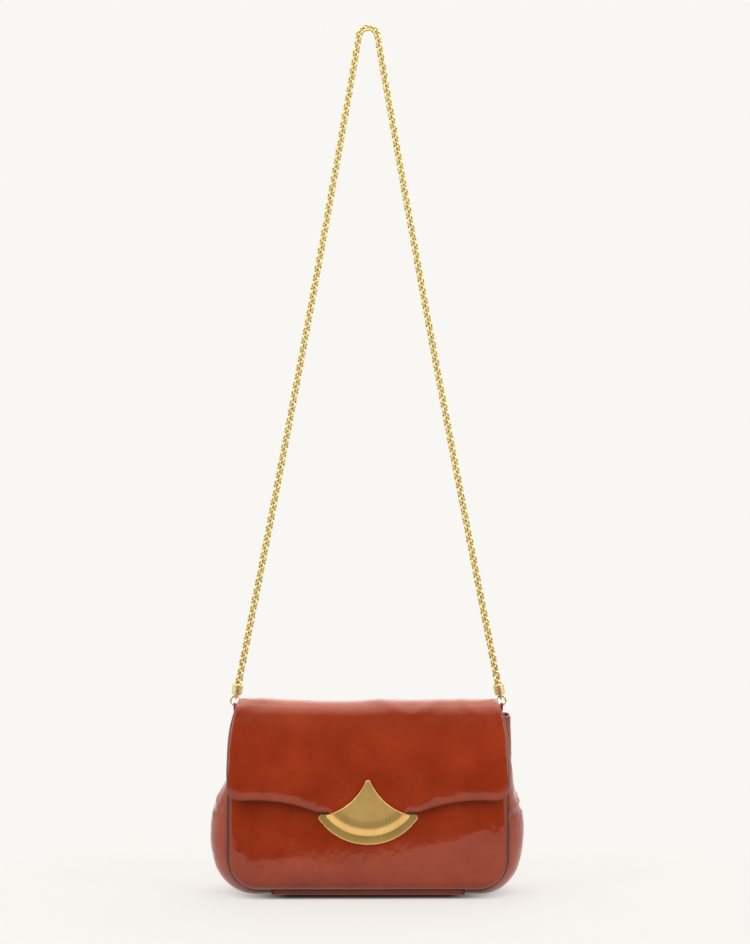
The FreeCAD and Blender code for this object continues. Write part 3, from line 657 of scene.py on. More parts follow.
# How far each gusset swells past the panels, by its share of the way down
SWELL = {
    "left": [
        (0, 0.6), (0.28, 1.2), (0.33, 2.8), (0.37, 7.0), (0.44, 12.2), (0.52, 14.6), (0.61, 15.4),
        (0.69, 13.4), (0.80, 9.6), (0.87, 7.6), (0.945, 4.4), (1, 3.9),
    ],
    "right": [
        (0, 6.6), (0.12, 5.2), (0.24, 4.0), (0.36, 5.4), (0.43, 9.2), (0.48, 12.4), (0.53, 13.6),
        (0.61, 13.2), (0.69, 11.6), (0.80, 9.0), (0.87, 7.4), (0.945, 4.4), (1, 3.9),
    ],
}
SWELL_EASE = 0.03
CREASE_DEPTH = {"left": 0.4, "right": 0.8}
CREASE_HEIGHT = 66.0
CREASE_WIDTH = 2.2
CREASE_TILT = 14.0
# Where the leather crumples, over what run to each side, and the heights over which painted shade darkens
# it above
CRUMPLE = (68, 16)
UPPER_SHADE_RISE = (70, 105)
# Turns normals that lean neither way out
UPRIGHT_BIAS = 1e-6


def gusset_grid(side_name, inset, rows, columns):
    """The outer face of a gusset, from the top down and from the front seam to the back one."""
    side = SIDES[side_name]
    grid = np.zeros((rows, columns, 3))
    across = np.linspace(0, 1, columns)
    for row, part in enumerate(np.linspace(0, 1, rows)):
        blunt = 2.8 + 5 * smooth(0.85, 1.0, part) + 4 * (1 - smooth(0.2, 0.45, part))
        (x, z), way = gusset_line(part, inset)
        front = front_face(side * PANEL_HALF, max(z, PANEL_BOTTOM + 1)) + SEAM_ROLL + inset
        back = back_depth(max(z, PANEL_BOTTOM + 1)) - SEAM_ROLL - inset
        swell = float(eased(SWELL[side_name], part, SWELL_EASE))
        out = swell * (1 - np.abs(2 * across - 1) ** blunt)
        grid[row, :, 0] = side * (x + way[0] * out)
        grid[row, :, 1] = front + (back - front) * across
        grid[row, :, 2] = z + way[1] * out
    return grid


def gusset(side_name, seed):
    """A side gusset: a puffed lower half, a crease where it folds and gathers along its seams."""
    side = SIDES[side_name]
    name = f"gusset_{side_name}"
    grid = gusset_grid(side_name, 0.0, 90, 60)
    normals = grid_normals(grid)
    normals *= np.sign(normals[..., :1] * side + UPRIGHT_BIAS)
    across = np.linspace(0, 1, grid.shape[1])[None, :]
    inside = np.sin(across * math.pi)
    z = grid[..., 2]
    tilt = (across - 0.5) * CREASE_TILT
    deep = CREASE_DEPTH[side_name]
    fold = bump(z, CREASE_HEIGHT + tilt, CREASE_WIDTH)
    crease = -2.6 * fold + 1.5 * bump(z, CREASE_HEIGHT + 6 + tilt, 3.0)
    crease = (crease - 0.8 * bump(z, CREASE_HEIGHT + 28 - 1.5 * tilt, 3.5)) * deep
    folds = 0.7 * ripple(grid, 22, seed, (1, 1.6, 0.9)) + 0.3 * ripple(grid, 8, seed + 1, (1, 1, 0.6))
    seam = np.minimum(across, 1 - across) * np.ptp(grid[..., 1], axis=1)[:, None]
    gather = 0.5 * np.exp(-seam / 5) * ripple(grid, 4.5, seed + 2, (1, 3, 1))
    crumple = 0.9 * bump(z, *CRUMPLE) * (1 - np.exp(-seam / 2)) * ripple(grid, 6, seed + 3, (1, 1.6, 1))
    low = smooth(1.0, 12.0, z)
    offset = (crease * inside ** 0.6 + folds * inside * 0.8 + gather + crumple) * low
    grid = grid + normals * offset[..., None]
    grid[..., 2] = np.maximum(grid[..., 2], 0.2)
    # Painted shade: the upper gusset and its crease are darkened where shade falls, on top of the painted
    # seam shade
    crease_and_upper_shade = 0.35 * smooth(*UPPER_SHADE_RISE, z) + 0.5 * fold * deep
    shade = np.maximum(seam_shade(seam), crease_and_upper_shade)
    return leather(name, shell(name, grid, LEATHER * 0.9, np.array([-side, 0, 0.3]), shade=shade))


# Base strip

STRIP_LEAN = 0.06
STRIP_TURN = 3.0
STRIP_EDGE = 1.4
STRIP_FOOT = 2.0


def base_strip():
    """The strip under the bag: rolled front and back edges, a seam at each end."""
    half_depth = 0.8 - front_depth(PANEL_BOTTOM + 1) - SEAM_ROLL
    height = STRIP_HIGH[2] - 0.35
    front = [(STRIP_TURN - half_depth, height), (-half_depth, height), (-half_depth, 0)]
    back = [(-y, z) for y, z in reversed(front)]
    rounding = rounded_path(front + back, [STRIP_EDGE, STRIP_FOOT, STRIP_FOOT, STRIP_EDGE], step=0.6)
    columns = np.linspace(-SEAM_X, SEAM_X, 90)
    grid = np.zeros((len(rounding), len(columns), 3))
    grid[..., 0] = columns[None, :]
    grid[..., 1] = rounding[:, :1]
    grid[..., 2] = rounding[:, 1:]
    end = rolled(SEAM_X - np.abs(columns), 3, 0.9)[None, :]
    wave = 0.3 * ripple(grid, 22, 31, (1.4, 1, 8))
    upright = smooth(0.6, 2.0, grid[..., 2])
    leant = STRIP_LEAN * (height - grid[..., 2])
    grid[..., 1] += np.sign(grid[..., 1]) * (upright * (wave - end) + leant)
    # Painted shade along the strip's top seam and at its end seams
    along = seam_shade((height - grid[..., 2]) * 5) * (1 - FOOT_LIGHT)
    shade = np.maximum(seam_shade(SEAM_X - np.abs(grid[..., 0])), along)
    mesh = shell("base_strip", grid, LEATHER * 0.8, np.array([0, 0, 1.0]), shade=shade)
    return leather("base_strip", mesh)


# Lining

LINING = 0.8
LINING_INSET = 3.9
LINING_DROP = 1.5


def linings():
    """The cloth inside: two panels, two sides and a floor."""
    for name, side, top in (("lining_front", -1, FRONT_HIGH[2]), ("lining_back", 1, BACK_TOP)):
        grid = panel_grid(side, LINING_INSET, top - LINING_DROP, 40, 60)
        grid[..., 1] -= side * 0.6 * np.abs(ripple(grid, 26, 40 + side))
        cloth(name, shell(name, grid, LINING, np.array([0, -side, 0])))
    for side_name, side in SIDES.items():
        name = f"lining_gusset_{side_name}"
        grid = gusset_grid(side_name, LINING_INSET, 50, 30)
        grid[..., 0] -= side * 0.7 * np.abs(ripple(grid, 18, 44 + side))
        cloth(name, shell(name, grid, LINING, np.array([-side, 0, 0.3])))
    low, high = box_mm("lining_base")
    x, y = np.meshgrid(np.linspace(low[0], high[0], 60), np.linspace(low[1] + 2, high[1] - 2, 24))
    grid = np.stack([x, y, np.full_like(x, high[2] + 0.4)], axis=2)
    grid[..., 2] += 0.3 * np.abs(ripple(grid, 20, 48))
    cloth("lining_base", shell("lining_base", grid, LINING, np.array([0, 0, -1.0])))


# Flap

FLAP_RISE = 15.0
FLAP_BACK_FALL = 4.0
FLAP_FRONT = 24.0
FLAP_BEND = 92.0
FLAP_REAR_HALF = 94.3
FLAP_RISE_HALF = 95.5
FLAP_TOP_HALF = 97.0
FLAP_DRAW = 7.6
FLAP_DRAW_FROM = 80.0
FLAP_CORNER = 11.0
FLAP_CORNER_HEIGHT = 72.0
FLAP_SAG = 3.2
WING_X = FAN_HIGH[0] - 2.2
WING_Z = 60.6
TONGUE = FLAP_LOW[2]
FLAP_THICK = 2.0
FLAP_PUFF = 2.4
FLAP_STAND = 2.4
FLAP_STAND_RUN = 30.0
# Width and depth of the rolls along the flap's sides and its lower edge
FLAP_SIDE_ROLL = (1.6, 0.9)
FLAP_LOW_ROLL = (5.0, 2.2)
FLAP_BEAD = 1.9
BEAD_ROUND = 0.6
# Runs from the hinge over which the flap comes free of it
HINGE_FREE = (4, 16)
# Heights over which the crest sags, and where across the bag it sags most and how far to each side
CREST_RISE = (110, 143)
CREST_SAG = (-18, 42)
CREST_DIP = (60, 26)
# Soft creases near the crest: slant, a height and the place across there, width and depth
CREST_CREASES = [
    (2.3, 138, 41, 8, 0.8), (-1.2, 143, 71, 6, 0.8), (-2.5, 142, 13, 8, 0.8), (3.0, 144, -80, 9, 0.7),
]
# Heights over which the flap leaves the clasp and over which its gloss is worn
CLASP_END = (108, 143)
HAZE_RISE = (112, 140)
EAR_X = PLATE_HIGH[0] + 0.6
EAR_Z = WING_Z + 3.0
EAR_TOP = WING_Z + 2.2
PLATE_LEAN = 0.05


def flap_line():
    """The flap's inner face from its hinge over the crest and down the front.

    Gives its places (y, z), the ways out and the run to each place.
    """
    inner_front, crest = FLAP_LOW[1] + FLAP_THICK, FLAP_HIGH[2] - FLAP_THICK
    path = rounded_path([
        (HINGE[1], HINGE[2]),
        (FLAP_RISE, crest - FLAP_BACK_FALL),
        (-FLAP_FRONT, crest),
        (inner_front, FLAP_BEND),
        (inner_front, TONGUE),
    ], [9, 12, 30], step=0.4)
    way = np.gradient(path, axis=0)
    way /= np.linalg.norm(way, axis=1, keepdims=True)
    out = np.stack([way[:, 1], -way[:, 0]], axis=1)
    length = np.concatenate([[0], np.cumsum(np.linalg.norm(np.diff(path, axis=0), axis=1))])
    return path, out, length


def arc_height(x, ends, middle):
    """Z on the circle through two end points and a middle one, at x."""
    (ax, az), (bx, bz), (cx, cz) = ends[0], middle, ends[1]
    rows = np.array([[2 * (bx - ax), 2 * (bz - az)], [2 * (cx - ax), 2 * (cz - az)]])
    values = np.array([bx * bx + bz * bz - ax * ax - az * az, cx * cx + cz * cz - ax * ax - az * az])
    centre = np.linalg.solve(rows, values)
    radius = math.hypot(ax - centre[0], az - centre[1])
    rise = np.sqrt(np.maximum(radius * radius - (x - centre[0]) ** 2, 0))
    return centre[1] + math.copysign(1, bz - centre[1]) * rise


def flap_low(x):
    """Height of the flap's lower edge: round corners, a sweep down to the clasp and a tongue behind it."""
    x = np.abs(np.asarray(x, float))
    half = FLAP_HIGH[0]
    edge = half - FLAP_CORNER
    corner = FLAP_CORNER_HEIGHT + FLAP_CORNER - np.sqrt(np.maximum(FLAP_CORNER ** 2 - (x - edge) ** 2, 0))
    sweep = arc_height(
        x, ((edge, FLAP_CORNER_HEIGHT), (EAR_X, EAR_Z)),
        ((edge + EAR_X) / 2, (FLAP_CORNER_HEIGHT + EAR_Z) / 2 + FLAP_SAG),
    )
    tongue = arc_height(x, ((-WING_X, EAR_Z), (WING_X, EAR_Z)), (0, TONGUE))
    inside = np.where(x > WING_X, EAR_Z, tongue)
    return np.where(x > edge, corner, np.where(x > EAR_X, sweep, inside))


def flap_half(y, z):
    """Half the flap's width where its face is at a depth and a height."""
    half, crest = FLAP_HIGH[0], FLAP_HIGH[2]
    draw = FLAP_DRAW * np.clip((z - FLAP_DRAW_FROM) / (crest - FLAP_THICK - FLAP_DRAW_FROM), 0, 1.1) ** 4.6
    halves = [FLAP_REAR_HALF, FLAP_RISE_HALF, FLAP_TOP_HALF, half]
    rear = np.interp(-y, [-HINGE[1], -FLAP_RISE, 0, FLAP_FRONT], halves)
    return np.minimum(half - draw, rear)


def flap_grid(lift, rows=130, columns=150):
    """A face of the flap, lifted off its inner line.

    Gives its points, the ways out, the distances to the sides and to the lower edge, and the run from
    the hinge.
    """
    path, out, length = flap_line()
    across = spread(columns, 0.9)
    end_x = across * FLAP_HIGH[0]
    front = path[:, 0] < -FLAP_FRONT
    end = np.interp(-flap_low(end_x), -path[front, 1], length[front])
    part = np.linspace(0, 1, rows)[:, None]
    run = part * end[None, :]
    y, z = np.interp(run, length, path[:, 0]), np.interp(run, length, path[:, 1])
    out_y, out_z = np.interp(run, length, out[:, 0]), np.interp(run, length, out[:, 1])
    half = flap_half(y, z)
    x = across[None, :] * half
    grid = np.stack([x, y + out_y * lift, z + out_z * lift], axis=2)
    normal = np.stack([np.zeros_like(x), out_y, out_z], axis=2)
    low = np.where(y < -FLAP_FRONT, np.maximum(z - flap_low(x), 0), FAR)
    return grid, normal, (half - np.abs(x), low), run


def flap():
    """The flap: lightly padded, rolled under at its free edges, with a sagging crest and soft creases."""
    grid, normal, (aside, low), run = flap_grid(FLAP_THICK)
    x, z = grid[..., 0].copy(), grid[..., 2].copy()
    clasp = clasp_seat(x) * (1 - smooth(*CLASP_END, z))
    hinge_side = smooth(*HINGE_FREE, run)
    edge = np.maximum(rolled(aside, *FLAP_SIDE_ROLL), rolled(low, *FLAP_LOW_ROLL) * (1 - 0.85 * clasp))
    distance = np.minimum(aside, low)
    puff = FLAP_PUFF * (1 - np.exp(-low / 7)) * (1 - np.exp(-aside / 0.9)) * (1 - clasp) * hinge_side
    stand = FLAP_STAND * np.exp(-low / FLAP_STAND_RUN) * (1 - clasp)
    top = bump(z, FLAP_HIGH[2], 11) * hinge_side
    creases = np.zeros_like(x)
    for slant, height, place, width, depth in CREST_CREASES:
        creases += depth * bump(x - slant * (z - height), place, width)
    waves = 0.45 * ripple(grid, 46, 11) + 0.20 * ripple(grid, 17, 12, (1, 1, 0.7))
    rim = 0.25 * np.exp(-distance / 6) * ripple(grid, 7, 13)
    offset = puff + stand - edge + top * creases + (waves + rim) * (1 - clasp) * hinge_side
    grid = grid + normal * offset[..., None]
    sag = 1.6 * bump(x, *CREST_SAG) + 0.7 * bump(x, *CREST_DIP)
    grid[..., 2] -= sag * smooth(*CREST_RISE, z) * hinge_side
    # Darker along the flap's lower edge and sides: edge dye, and painted shade standing in for the shadow
    # line under the edge
    shade = np.maximum(0.9 * bump(low, 0, 1.2), 0.85 * bump(aside, 0, 1.3))
    haze = np.maximum(smooth(*HAZE_RISE, z), bump(aside, 0, 4))
    mesh = shell("flap_leather", grid, FLAP_THICK * 0.75, -normal, shade=shade, haze=haze)
    return leather("flap_leather", mesh, "flap")


def flap_lining():
    """The cloth under the flap, which sags and stands off with it."""
    grid, normal, (_, low), run = flap_grid(0.1, 80, 100)
    x, z = grid[..., 0], grid[..., 2]
    grid[..., 2] -= 0.8 * bump(x, *CREST_SAG) * smooth(*CREST_RISE, z) * smooth(*HINGE_FREE, run)
    stand = FLAP_STAND * np.exp(-low / FLAP_STAND_RUN) * (1 - clasp_seat(x)) * smooth(0, 6, low)
    grid += normal * stand[..., None] * 0.8
    return cloth("flap_lining", shell("flap_lining", grid, 0.5, -normal), "flap")


def flap_bead():
    """The bead along the flap's rear edge, round the line that the flap turns about."""
    half = FLAP_REAR_HALF
    ends = [(ON_AXIS, half), (FLAP_BEAD - BEAD_ROUND, half), (FLAP_BEAD, half - BEAD_ROUND)]
    profile = [(radius, -place) for radius, place in ends] + ends[::-1]
    points, faces = lathe(profile, 24)
    placed = [HINGE + point[[2, 0, 1]] for point in points]
    mesh = mesh_from("flap_bead", placed, faces)
    return linked("flap_bead", mesh, "flap", "patent_leather", LEATHER_LOOK)


# Clasp

FAN_CURVE = 43.0
FAN_TIP = 1.5
FAN_ROUND = 0.4
FAN_CORNER = 1.2
FAN_RAISE = 1.2
PLATE_RAISE = 0.6
PLATE_EAR = 3.8
PLATE_SEAT = 1.6
# Width and depth of the fan's lip and of the fine rims
FAN_LIP = (6.5, 2.5)
CLASP_RIM = (0.7, 0.6)
CLASP_COLUMNS = 121


def plate_face(x, low, high, front, rows):
    """A flat face between a lower and an upper edge over x, with rows closer together at both."""
    part = (1 - np.cos(np.linspace(0, 1, rows) * math.pi)) / 2
    z = high[None, :] + (low - high)[None, :] * part[:, None]
    return np.stack([np.repeat(x[None, :], rows, axis=0), np.full_like(z, front), z], axis=2)


def from_arc(grid, half, wing, bottom):
    """Distance of each point to the round lower edge, from wing to wing through the bottom."""
    radius = (half * half + (wing - bottom) ** 2) / (2 * (wing - bottom))
    return radius - np.hypot(grid[..., 0], grid[..., 2] - (bottom + radius))


def plate(name, grid, back, body):
    """A solid brass plate from its front face as a grid to a flat back."""
    rows, columns, _ = grid.shape
    behind = grid.copy()
    behind[..., 1] = back
    points = [*grid.reshape(-1, 3), *behind.reshape(-1, 3)]
    count = rows * columns
    faces = two_sided_faces(rows, columns)
    rim = [row * columns + column for row, column in rim_places(rows, columns)]
    for here, there in zip(rim, rim[1:] + rim[:1]):
        faces.append([here, here + count, there + count, there])
    mesh = mesh_from(name, points, faces)
    return linked(name, mesh, body, "antique_brass", ANTIQUE_LOOK, name)


def fan():
    """The fan: satin face, hollow sides and a broad rolled lip along its round lower edge."""
    half, apex, bottom = FAN_HIGH[0], FAN_HIGH[2], FAN_LOW[2] + FAN_RAISE
    wing, tip, shoulder = WING_Z, FAN_TIP, apex - FAN_ROUND
    x = half * spread(CLASP_COLUMNS)
    low = arc_height(x, ((-half, wing), (half, wing)), (0, bottom))
    chord = np.array([half - tip, apex - wing - tip])
    length = math.hypot(*chord)
    sagitta = FAN_CURVE - math.sqrt(FAN_CURVE ** 2 - (length / 2) ** 2)
    middle = np.array([half + tip, apex + wing + tip]) / 2 - chord[::-1] / length * sagitta
    side = arc_height(np.abs(x), ((tip, shoulder), (half, wing + tip)), tuple(middle))
    cap = shoulder + FAN_ROUND * np.sqrt(np.maximum(1 - (x / tip) ** 2, 0))
    high = np.where(np.abs(x) < tip, cap, side)
    past = np.clip((np.abs(x) - (half - FAN_CORNER)) / FAN_CORNER, 0, 1)
    closing = np.sqrt(np.maximum(1 - past ** 2, 0))
    level = (wing + tip / 2) * (1 - closing)
    low, high = low * closing + level, high * closing + level
    grid = plate_face(x, low, high, FAN_LOW[1], 60)
    z = grid[..., 2]
    from_low = from_arc(grid, half, wing, bottom)
    lip = rolled(np.maximum(from_low, 0), *FAN_LIP)
    fall = rolled(np.maximum((high[None, :] - z) * 0.72, 0), *CLASP_RIM)
    dish = 0.32 * smooth(4.0, 12.0, from_low)
    leant = -0.4 * np.clip((z - wing) / (apex - wing), 0, 1) ** 1.5
    back = FAN_HIGH[1]
    grid[..., 1] = np.minimum(grid[..., 1] + np.maximum(lip, fall) + dish + leant, back - 0.5)
    return plate("clasp_fan", grid, back, "flap")


def base_plate():
    """The half-moon plate: flat, with round ears and a fine rounded rim."""
    half, bottom, ear = PLATE_HIGH[0], PLATE_LOW[2] + PLATE_RAISE, PLATE_EAR
    wing = EAR_TOP - ear
    x = half * spread(CLASP_COLUMNS)
    low = arc_height(x, ((-half, wing), (half, wing)), (0, bottom))
    inside = np.clip((np.abs(x) - (half - ear)) / ear, 0, 1)
    reach = ear * np.sqrt(np.maximum(1 - inside ** 2, 0))
    high = wing + reach
    low = np.where(inside > 0, np.maximum(low, wing - reach), low)
    grid = plate_face(x, low, high, PLATE_LOW[1], 40)
    z = grid[..., 2]
    from_low = np.maximum(from_arc(grid, half, wing, bottom), 0)
    from_high = np.maximum(high[None, :] - z, 0)
    edge = np.minimum(np.minimum(from_low, from_high), (half - np.abs(grid[..., 0])) * 0.9)
    grid[..., 1] += rolled(edge, *CLASP_RIM) + PLATE_LEAN * (z - bottom)
    return plate("clasp_base_plate", grid, PLATE_HIGH[1] + PLATE_SEAT, "bag")


# Chain anchors

TAB_WIDTH = 1.8
TAB_SHIFT = 0.4
TAB_SPLAY = 4.2
TAB_PRESS = 1.3
TAB_SHEET = 1.0
TAB_GAP = 0.62
RING_RADIUS = 3.5
RING_WIRE = 0.7
# The ring hangs midway between the two lines that it and the strap turn about
RING_DROP = np.linalg.norm(RING_TOP - TAB) / 2 - RING_RADIUS
CAP_STANDOFF = 1.0
CAP_LENGTH = 8.2
CAP_RADIUS = 4.25
CAP_COLLAR = 0.12
CAP_BORE = 3.5
CAP_CUP = 6.2
LUG = 2.4
LUG_EYE = 1.45
LUG_THICK = 1.5
LUG_NECK = 1.2


def run_way(side):
    """The eye at the foot of the chain's straight run on a side, and the way up the run."""
    flip = np.array([side, 1, 1])
    eye, foot = RING_TOP * flip, TAB * flip
    return eye, unit(eye - foot)


def tab(side_name):
    """A folded leather tab round the ring's lower wire, sewn to the back panel."""
    side, name = SIDES[side_name], f"tab_{side_name}"
    low, high = box_mm(name)
    radius = high[2] - TAB[2] - TAB_SHEET / 2
    turn = np.linspace(-0.30 * math.pi, 1.30 * math.pi, 40)
    loop = TAB[1:] + radius * np.stack([np.cos(turn), np.sin(turn)], axis=1)
    leg_top = TAB[2] - radius * 1.25
    heights = np.linspace(low[2] + 0.3, leg_top, 9)
    outer_leg = [(TAB[1] + TAB_GAP, height) for height in heights]
    inner_leg = [(TAB[1] - TAB_GAP, height) for height in heights[::-1]]
    line = np.array([*outer_leg, *loop, *inner_leg])
    sewn = smooth(0, 8, leg_top - line[:, 1:])
    columns = np.linspace(-TAB_WIDTH / 2, TAB_WIDTH / 2, 7)
    grid = np.zeros((len(line), len(columns), 3))
    grid[..., 0] = side * (TAB[0] - TAB_SHIFT - TAB_SPLAY * sewn) + columns[None, :] * (1 + 1.2 * sewn)
    grid[..., 1] = line[:, :1] - TAB_PRESS * sewn
    grid[..., 2] = line[:, 1:]
    inward = TAB - grid
    inward[..., 0] = 0
    return leather(name, shell(name, grid, TAB_SHEET * 0.55, inward))


def torus_points(radius, wire, segments, sides):
    """Points and faces of a ring about Z."""
    points, faces = [], []
    for segment in range(segments):
        angle = 2 * math.pi * segment / segments
        for step in range(sides):
            turn = 2 * math.pi * step / sides
            reach = radius + wire * math.cos(turn)
            points.append((reach * math.cos(angle), reach * math.sin(angle), wire * math.sin(turn)))
    for segment in range(segments):
        for step in range(sides):
            here, there = segment * sides, (segment + 1) % segments * sides
            following = (step + 1) % sides
            faces.append([here + step, there + step, there + following, here + following])
    return np.array(points), faces


def ring(side_name):
    """A wire ring between the tab and the end cap."""
    name = f"ring_{side_name}"
    eye, way = run_way(SIDES[side_name])
    points, faces = torus_points(RING_RADIUS, RING_WIRE, 64, 20)
    placed = points[:, [0, 2, 1]] + eye - way * (RING_DROP + RING_RADIUS)
    mesh = mesh_from(name, placed, faces)
    return linked(name, mesh, "rings", "gold_brass", GOLD_LOOK, name)


def end_cap(side_name):
    """A turned cup with a collar at its mouth and an eye below for the ring."""
    name = f"end_cap_{side_name}"
    foot, top = CAP_STANDOFF, CAP_STANDOFF + CAP_LENGTH
    body = CAP_RADIUS - CAP_COLLAR
    profile = [
        (ON_AXIS, foot), (2.4, foot), (3.2, foot + 0.2), (3.8, foot + 0.7),
        (body, foot + 1.4), (body, foot + 1.5), (body, top - 1.7), (body, top - 1.55),
        (CAP_RADIUS, top - 1.3), (CAP_RADIUS, top - 0.5),
        (CAP_RADIUS - 0.3, top - 0.1), (CAP_RADIUS - 0.45, top),
        (CAP_BORE, top), (CAP_BORE, top - CAP_CUP), (ON_AXIS, top - CAP_CUP),
    ]
    points, faces = lathe(profile, 48)
    lug_points, lug_faces = lug()
    faces += [[index + len(points) for index in face] for face in lug_faces]
    points += lug_points
    eye, way = run_way(SIDES[side_name])
    turn = Matrix.Rotation(math.atan2(way[0], way[2]), 3, "Y")
    placed = [np.array(turn @ Vector(point)) + eye - way * RING_DROP for point in points]
    mesh = mesh_from(name, placed, faces)
    piece = linked(name, mesh, "strap", "gold_brass", SATIN_LOOK, name)
    bevel = piece.modifiers.new("edges", "BEVEL")
    bevel.width = 0.12 * MM
    bevel.segments = 2
    bevel.angle_limit = math.radians(40)
    return piece


def lug(segments=40):
    """The eye under an end cap: a flat ring with a neck up into the cup."""
    turns = [2 * math.pi * segment / segments for segment in range(segments)]
    outline = []
    for turn in turns:
        y, z = LUG * math.sin(turn), LUG * math.cos(turn)
        if abs(turn - math.pi) > math.pi / 2:
            y = math.copysign(min(abs(y) * 1.25, LUG), y)
            z = max(z, 0) / LUG * (CAP_STANDOFF + LUG_NECK)
        outline.append((y, z))
    bore = [(LUG_EYE * math.sin(turn), LUG_EYE * math.cos(turn)) for turn in turns]
    points = [np.array([x, y, z]) for x in (-LUG_THICK / 2, LUG_THICK / 2) for y, z in outline + bore]
    faces = []
    for low, high in ((0, 1), (2, 3), (0, 2), (1, 3)):
        faces += band(low, high, segments)
    return points, faces


# Chain

CHAIN_APEX = 659.0
CHAIN_SHOULDER = 6.0
CHAIN_TOP_RADIUS = 7.0
CHAIN_BOW = 3.2
CHAIN_BOW_RADIUS = 18000.0
FIRST_LINK = 9.25
LINK_RADIUS = 2.6
LINK_WIRE = 0.86
LINK_PITCH = 3.5
LINK_REACH = 2.2


def chain_line():
    """The chain's middle line: up one run, which bows in a little, over the top bend and down again."""
    eye, way = run_way(-1)
    begin = (eye + way * FIRST_LINK)[[0, 2]]
    shoulder = np.array([-CHAIN_SHOULDER, CHAIN_APEX])
    middle = (begin + shoulder) / 2 + np.array([CHAIN_BOW, 0])
    left = [begin, middle, shoulder]
    right = [point * np.array([-1, 1]) for point in reversed(left)]
    radii = [CHAIN_BOW_RADIUS, CHAIN_TOP_RADIUS]
    line = rounded_path(left + right, radii + radii[::-1])
    return np.stack([line[:, 0], np.full(len(line), eye[1]), line[:, 1]], axis=1)


def point_along(line, length, run):
    """The point of a line at a run from its beginning."""
    return np.array([np.interp(run, length, line[:, axis]) for axis in range(3)])


def chain():
    """Round links, each at right angles to its neighbours, along the route."""
    line = chain_line()
    steps = np.linalg.norm(np.diff(line, axis=0), axis=1)
    length = np.concatenate([[0], np.cumsum(steps)])
    count = round(length[-1] / LINK_PITCH)
    ring_points, ring_faces = torus_points(LINK_RADIUS, LINK_WIRE, 28, 12)
    points, faces = [], []
    for index in range(count + 1):
        along = length[-1] * index / count
        place = point_along(line, length, along)
        before, after = (point_along(line, length, along + step) for step in (-LINK_REACH, LINK_REACH))
        way = Vector(after - before).normalized()
        wobble = 3.5 * math.sin(index * 1.7) + 3.0 * math.sin(index * 0.41)
        twist = math.radians((45 if index % 2 else -45) + wobble)
        side = Vector((0, 1, 0))
        across = way.cross(side).normalized()
        normal = across * math.cos(twist) + side * math.sin(twist)
        third = way.cross(normal)
        turn = np.array([list(way), list(third), list(normal)]).T
        faces += [[corner + len(points) for corner in face] for face in ring_faces]
        points += [place + turn @ point for point in ring_points]
    mesh = bpy.data.meshes.new("chain_links")
    mesh.from_pydata([tuple(point * MM) for point in points], [], faces)
    piece = linked("chain_links", mesh, "strap", "gold_brass", GOLD_LOOK, "chain_links")
    return piece


# CAD nodes that show as they are


def carried_over():
    """The hidden hardware and the board, with looks of their own."""
    for node in ("clasp_base_backplate", "clasp_base_rivets", "clasp_fan_studs"):
        dressed(frame["nodes"][node], ANTIQUE_LOOK)
    for node in ("clasp_magnet_flap", "clasp_magnet_front"):
        dressed(frame["nodes"][node], STEEL_LOOK)
    dressed(frame["nodes"]["end_cap_pins"], GOLD_LOOK)
    dressed(frame["nodes"]["base_board"], BOARD_LOOK)


# Studio, in metres

CAMERA_DISTANCE = 2.194
CAMERA_HEIGHT = 0.3175
CAMERA_SIDE = 0.0052
SENSOR = 36.0
FRAME_HEIGHT = 0.7030
BACKGROUND = (0.947, 0.930, 0.896)
WORLD_LIGHT = 0.45
TABLE = (0.70, 0.685, 0.66)
TABLE_EDGE = -0.43
TABLE_HALF, TABLE_BACK = 4.0, 6.0
# Distances from the bag over which the table turns into the surround, and how far it has near the bag
FADE = (0.16, 0.42, 0.65)
# How far the shadow at the foot reaches, its colours from the contact outwards, and where it ends aside
SHADOW_REACH = 0.017
SHADOW = [
    (0.42, (0.02, 0.014, 0.011)), (0.64, (0.10, 0.08, 0.068)), (0.78, (0.36, 0.32, 0.29)),
    (0.92, (0.68, 0.63, 0.59)), (1.0, BACKGROUND),
]
SHADOW_ASIDE = (0.058, 0.108)
# How far the shadow at the foot is left out where gloss mirrors the table
MIRRORED_LIFT = 0.8
CARD = (0.02, 0.018, 0.017)
CARD_HALF, CARD_Y, CARD_LOW, CARD_HIGH = 5.0, -3.2, -1.5, 3.2
LAMP_COLOUR = (1.0, 0.975, 0.945)
# Name, place, aim, width and height, power
LAMPS = [
    ("overhead", (0.0, 0.75, 1.9), (0, 0.75, 0.1), (2.6, 1.9), 30),
    ("front", (0.0, -0.65, 1.9), (0, -0.65, 0.1), (2.6, 0.8), 7),
    ("left", (-1.6, -1.5, 1.2), (0, 0, 0.12), (0.8, 1.4), 16),
    ("right", (1.7, -1.4, 1.1), (0, 0, 0.12), (0.8, 1.4), 15),
    ("behind", (0.4, 1.8, 1.3), (0, 0, 0.2), (1.6, 1.0), 10),
]


def camera():
    """Level with the middle of the picture, at the distance that gives the photograph's perspective."""
    lens = bpy.data.cameras.new("camera")
    lens.sensor_fit = "VERTICAL"
    lens.sensor_height = SENSOR
    lens.lens = SENSOR * CAMERA_DISTANCE / FRAME_HEIGHT
    eye = added("camera", lens)
    eye.location = (CAMERA_SIDE, FLAP_LOW[1] * MM - CAMERA_DISTANCE, CAMERA_HEIGHT)
    eye.rotation_euler = (math.pi / 2, 0, 0)
    bpy.context.scene.camera = eye


def seen_ray(tree):
    """1 for rays that show the surround: from the camera, off gloss and through glass."""
    path = new_node(tree, "LightPath").outputs
    reflected = computed(tree, "MAXIMUM", path["Is Camera Ray"], path["Is Glossy Ray"])
    return computed(tree, "MAXIMUM", reflected, path["Is Transmission Ray"])


def blended(tree, share, lit, shown, output):
    """Sends a lit shader to an output, with a share of a shown one over it."""
    mix = new_node(tree, "MixShader")
    for value, socket in zip((share, lit.outputs[0], shown.outputs[0]), mix.inputs):
        tree.links.new(value, socket)
    shaded(tree, tree.nodes[output], Surface=mix.outputs["Shader"])


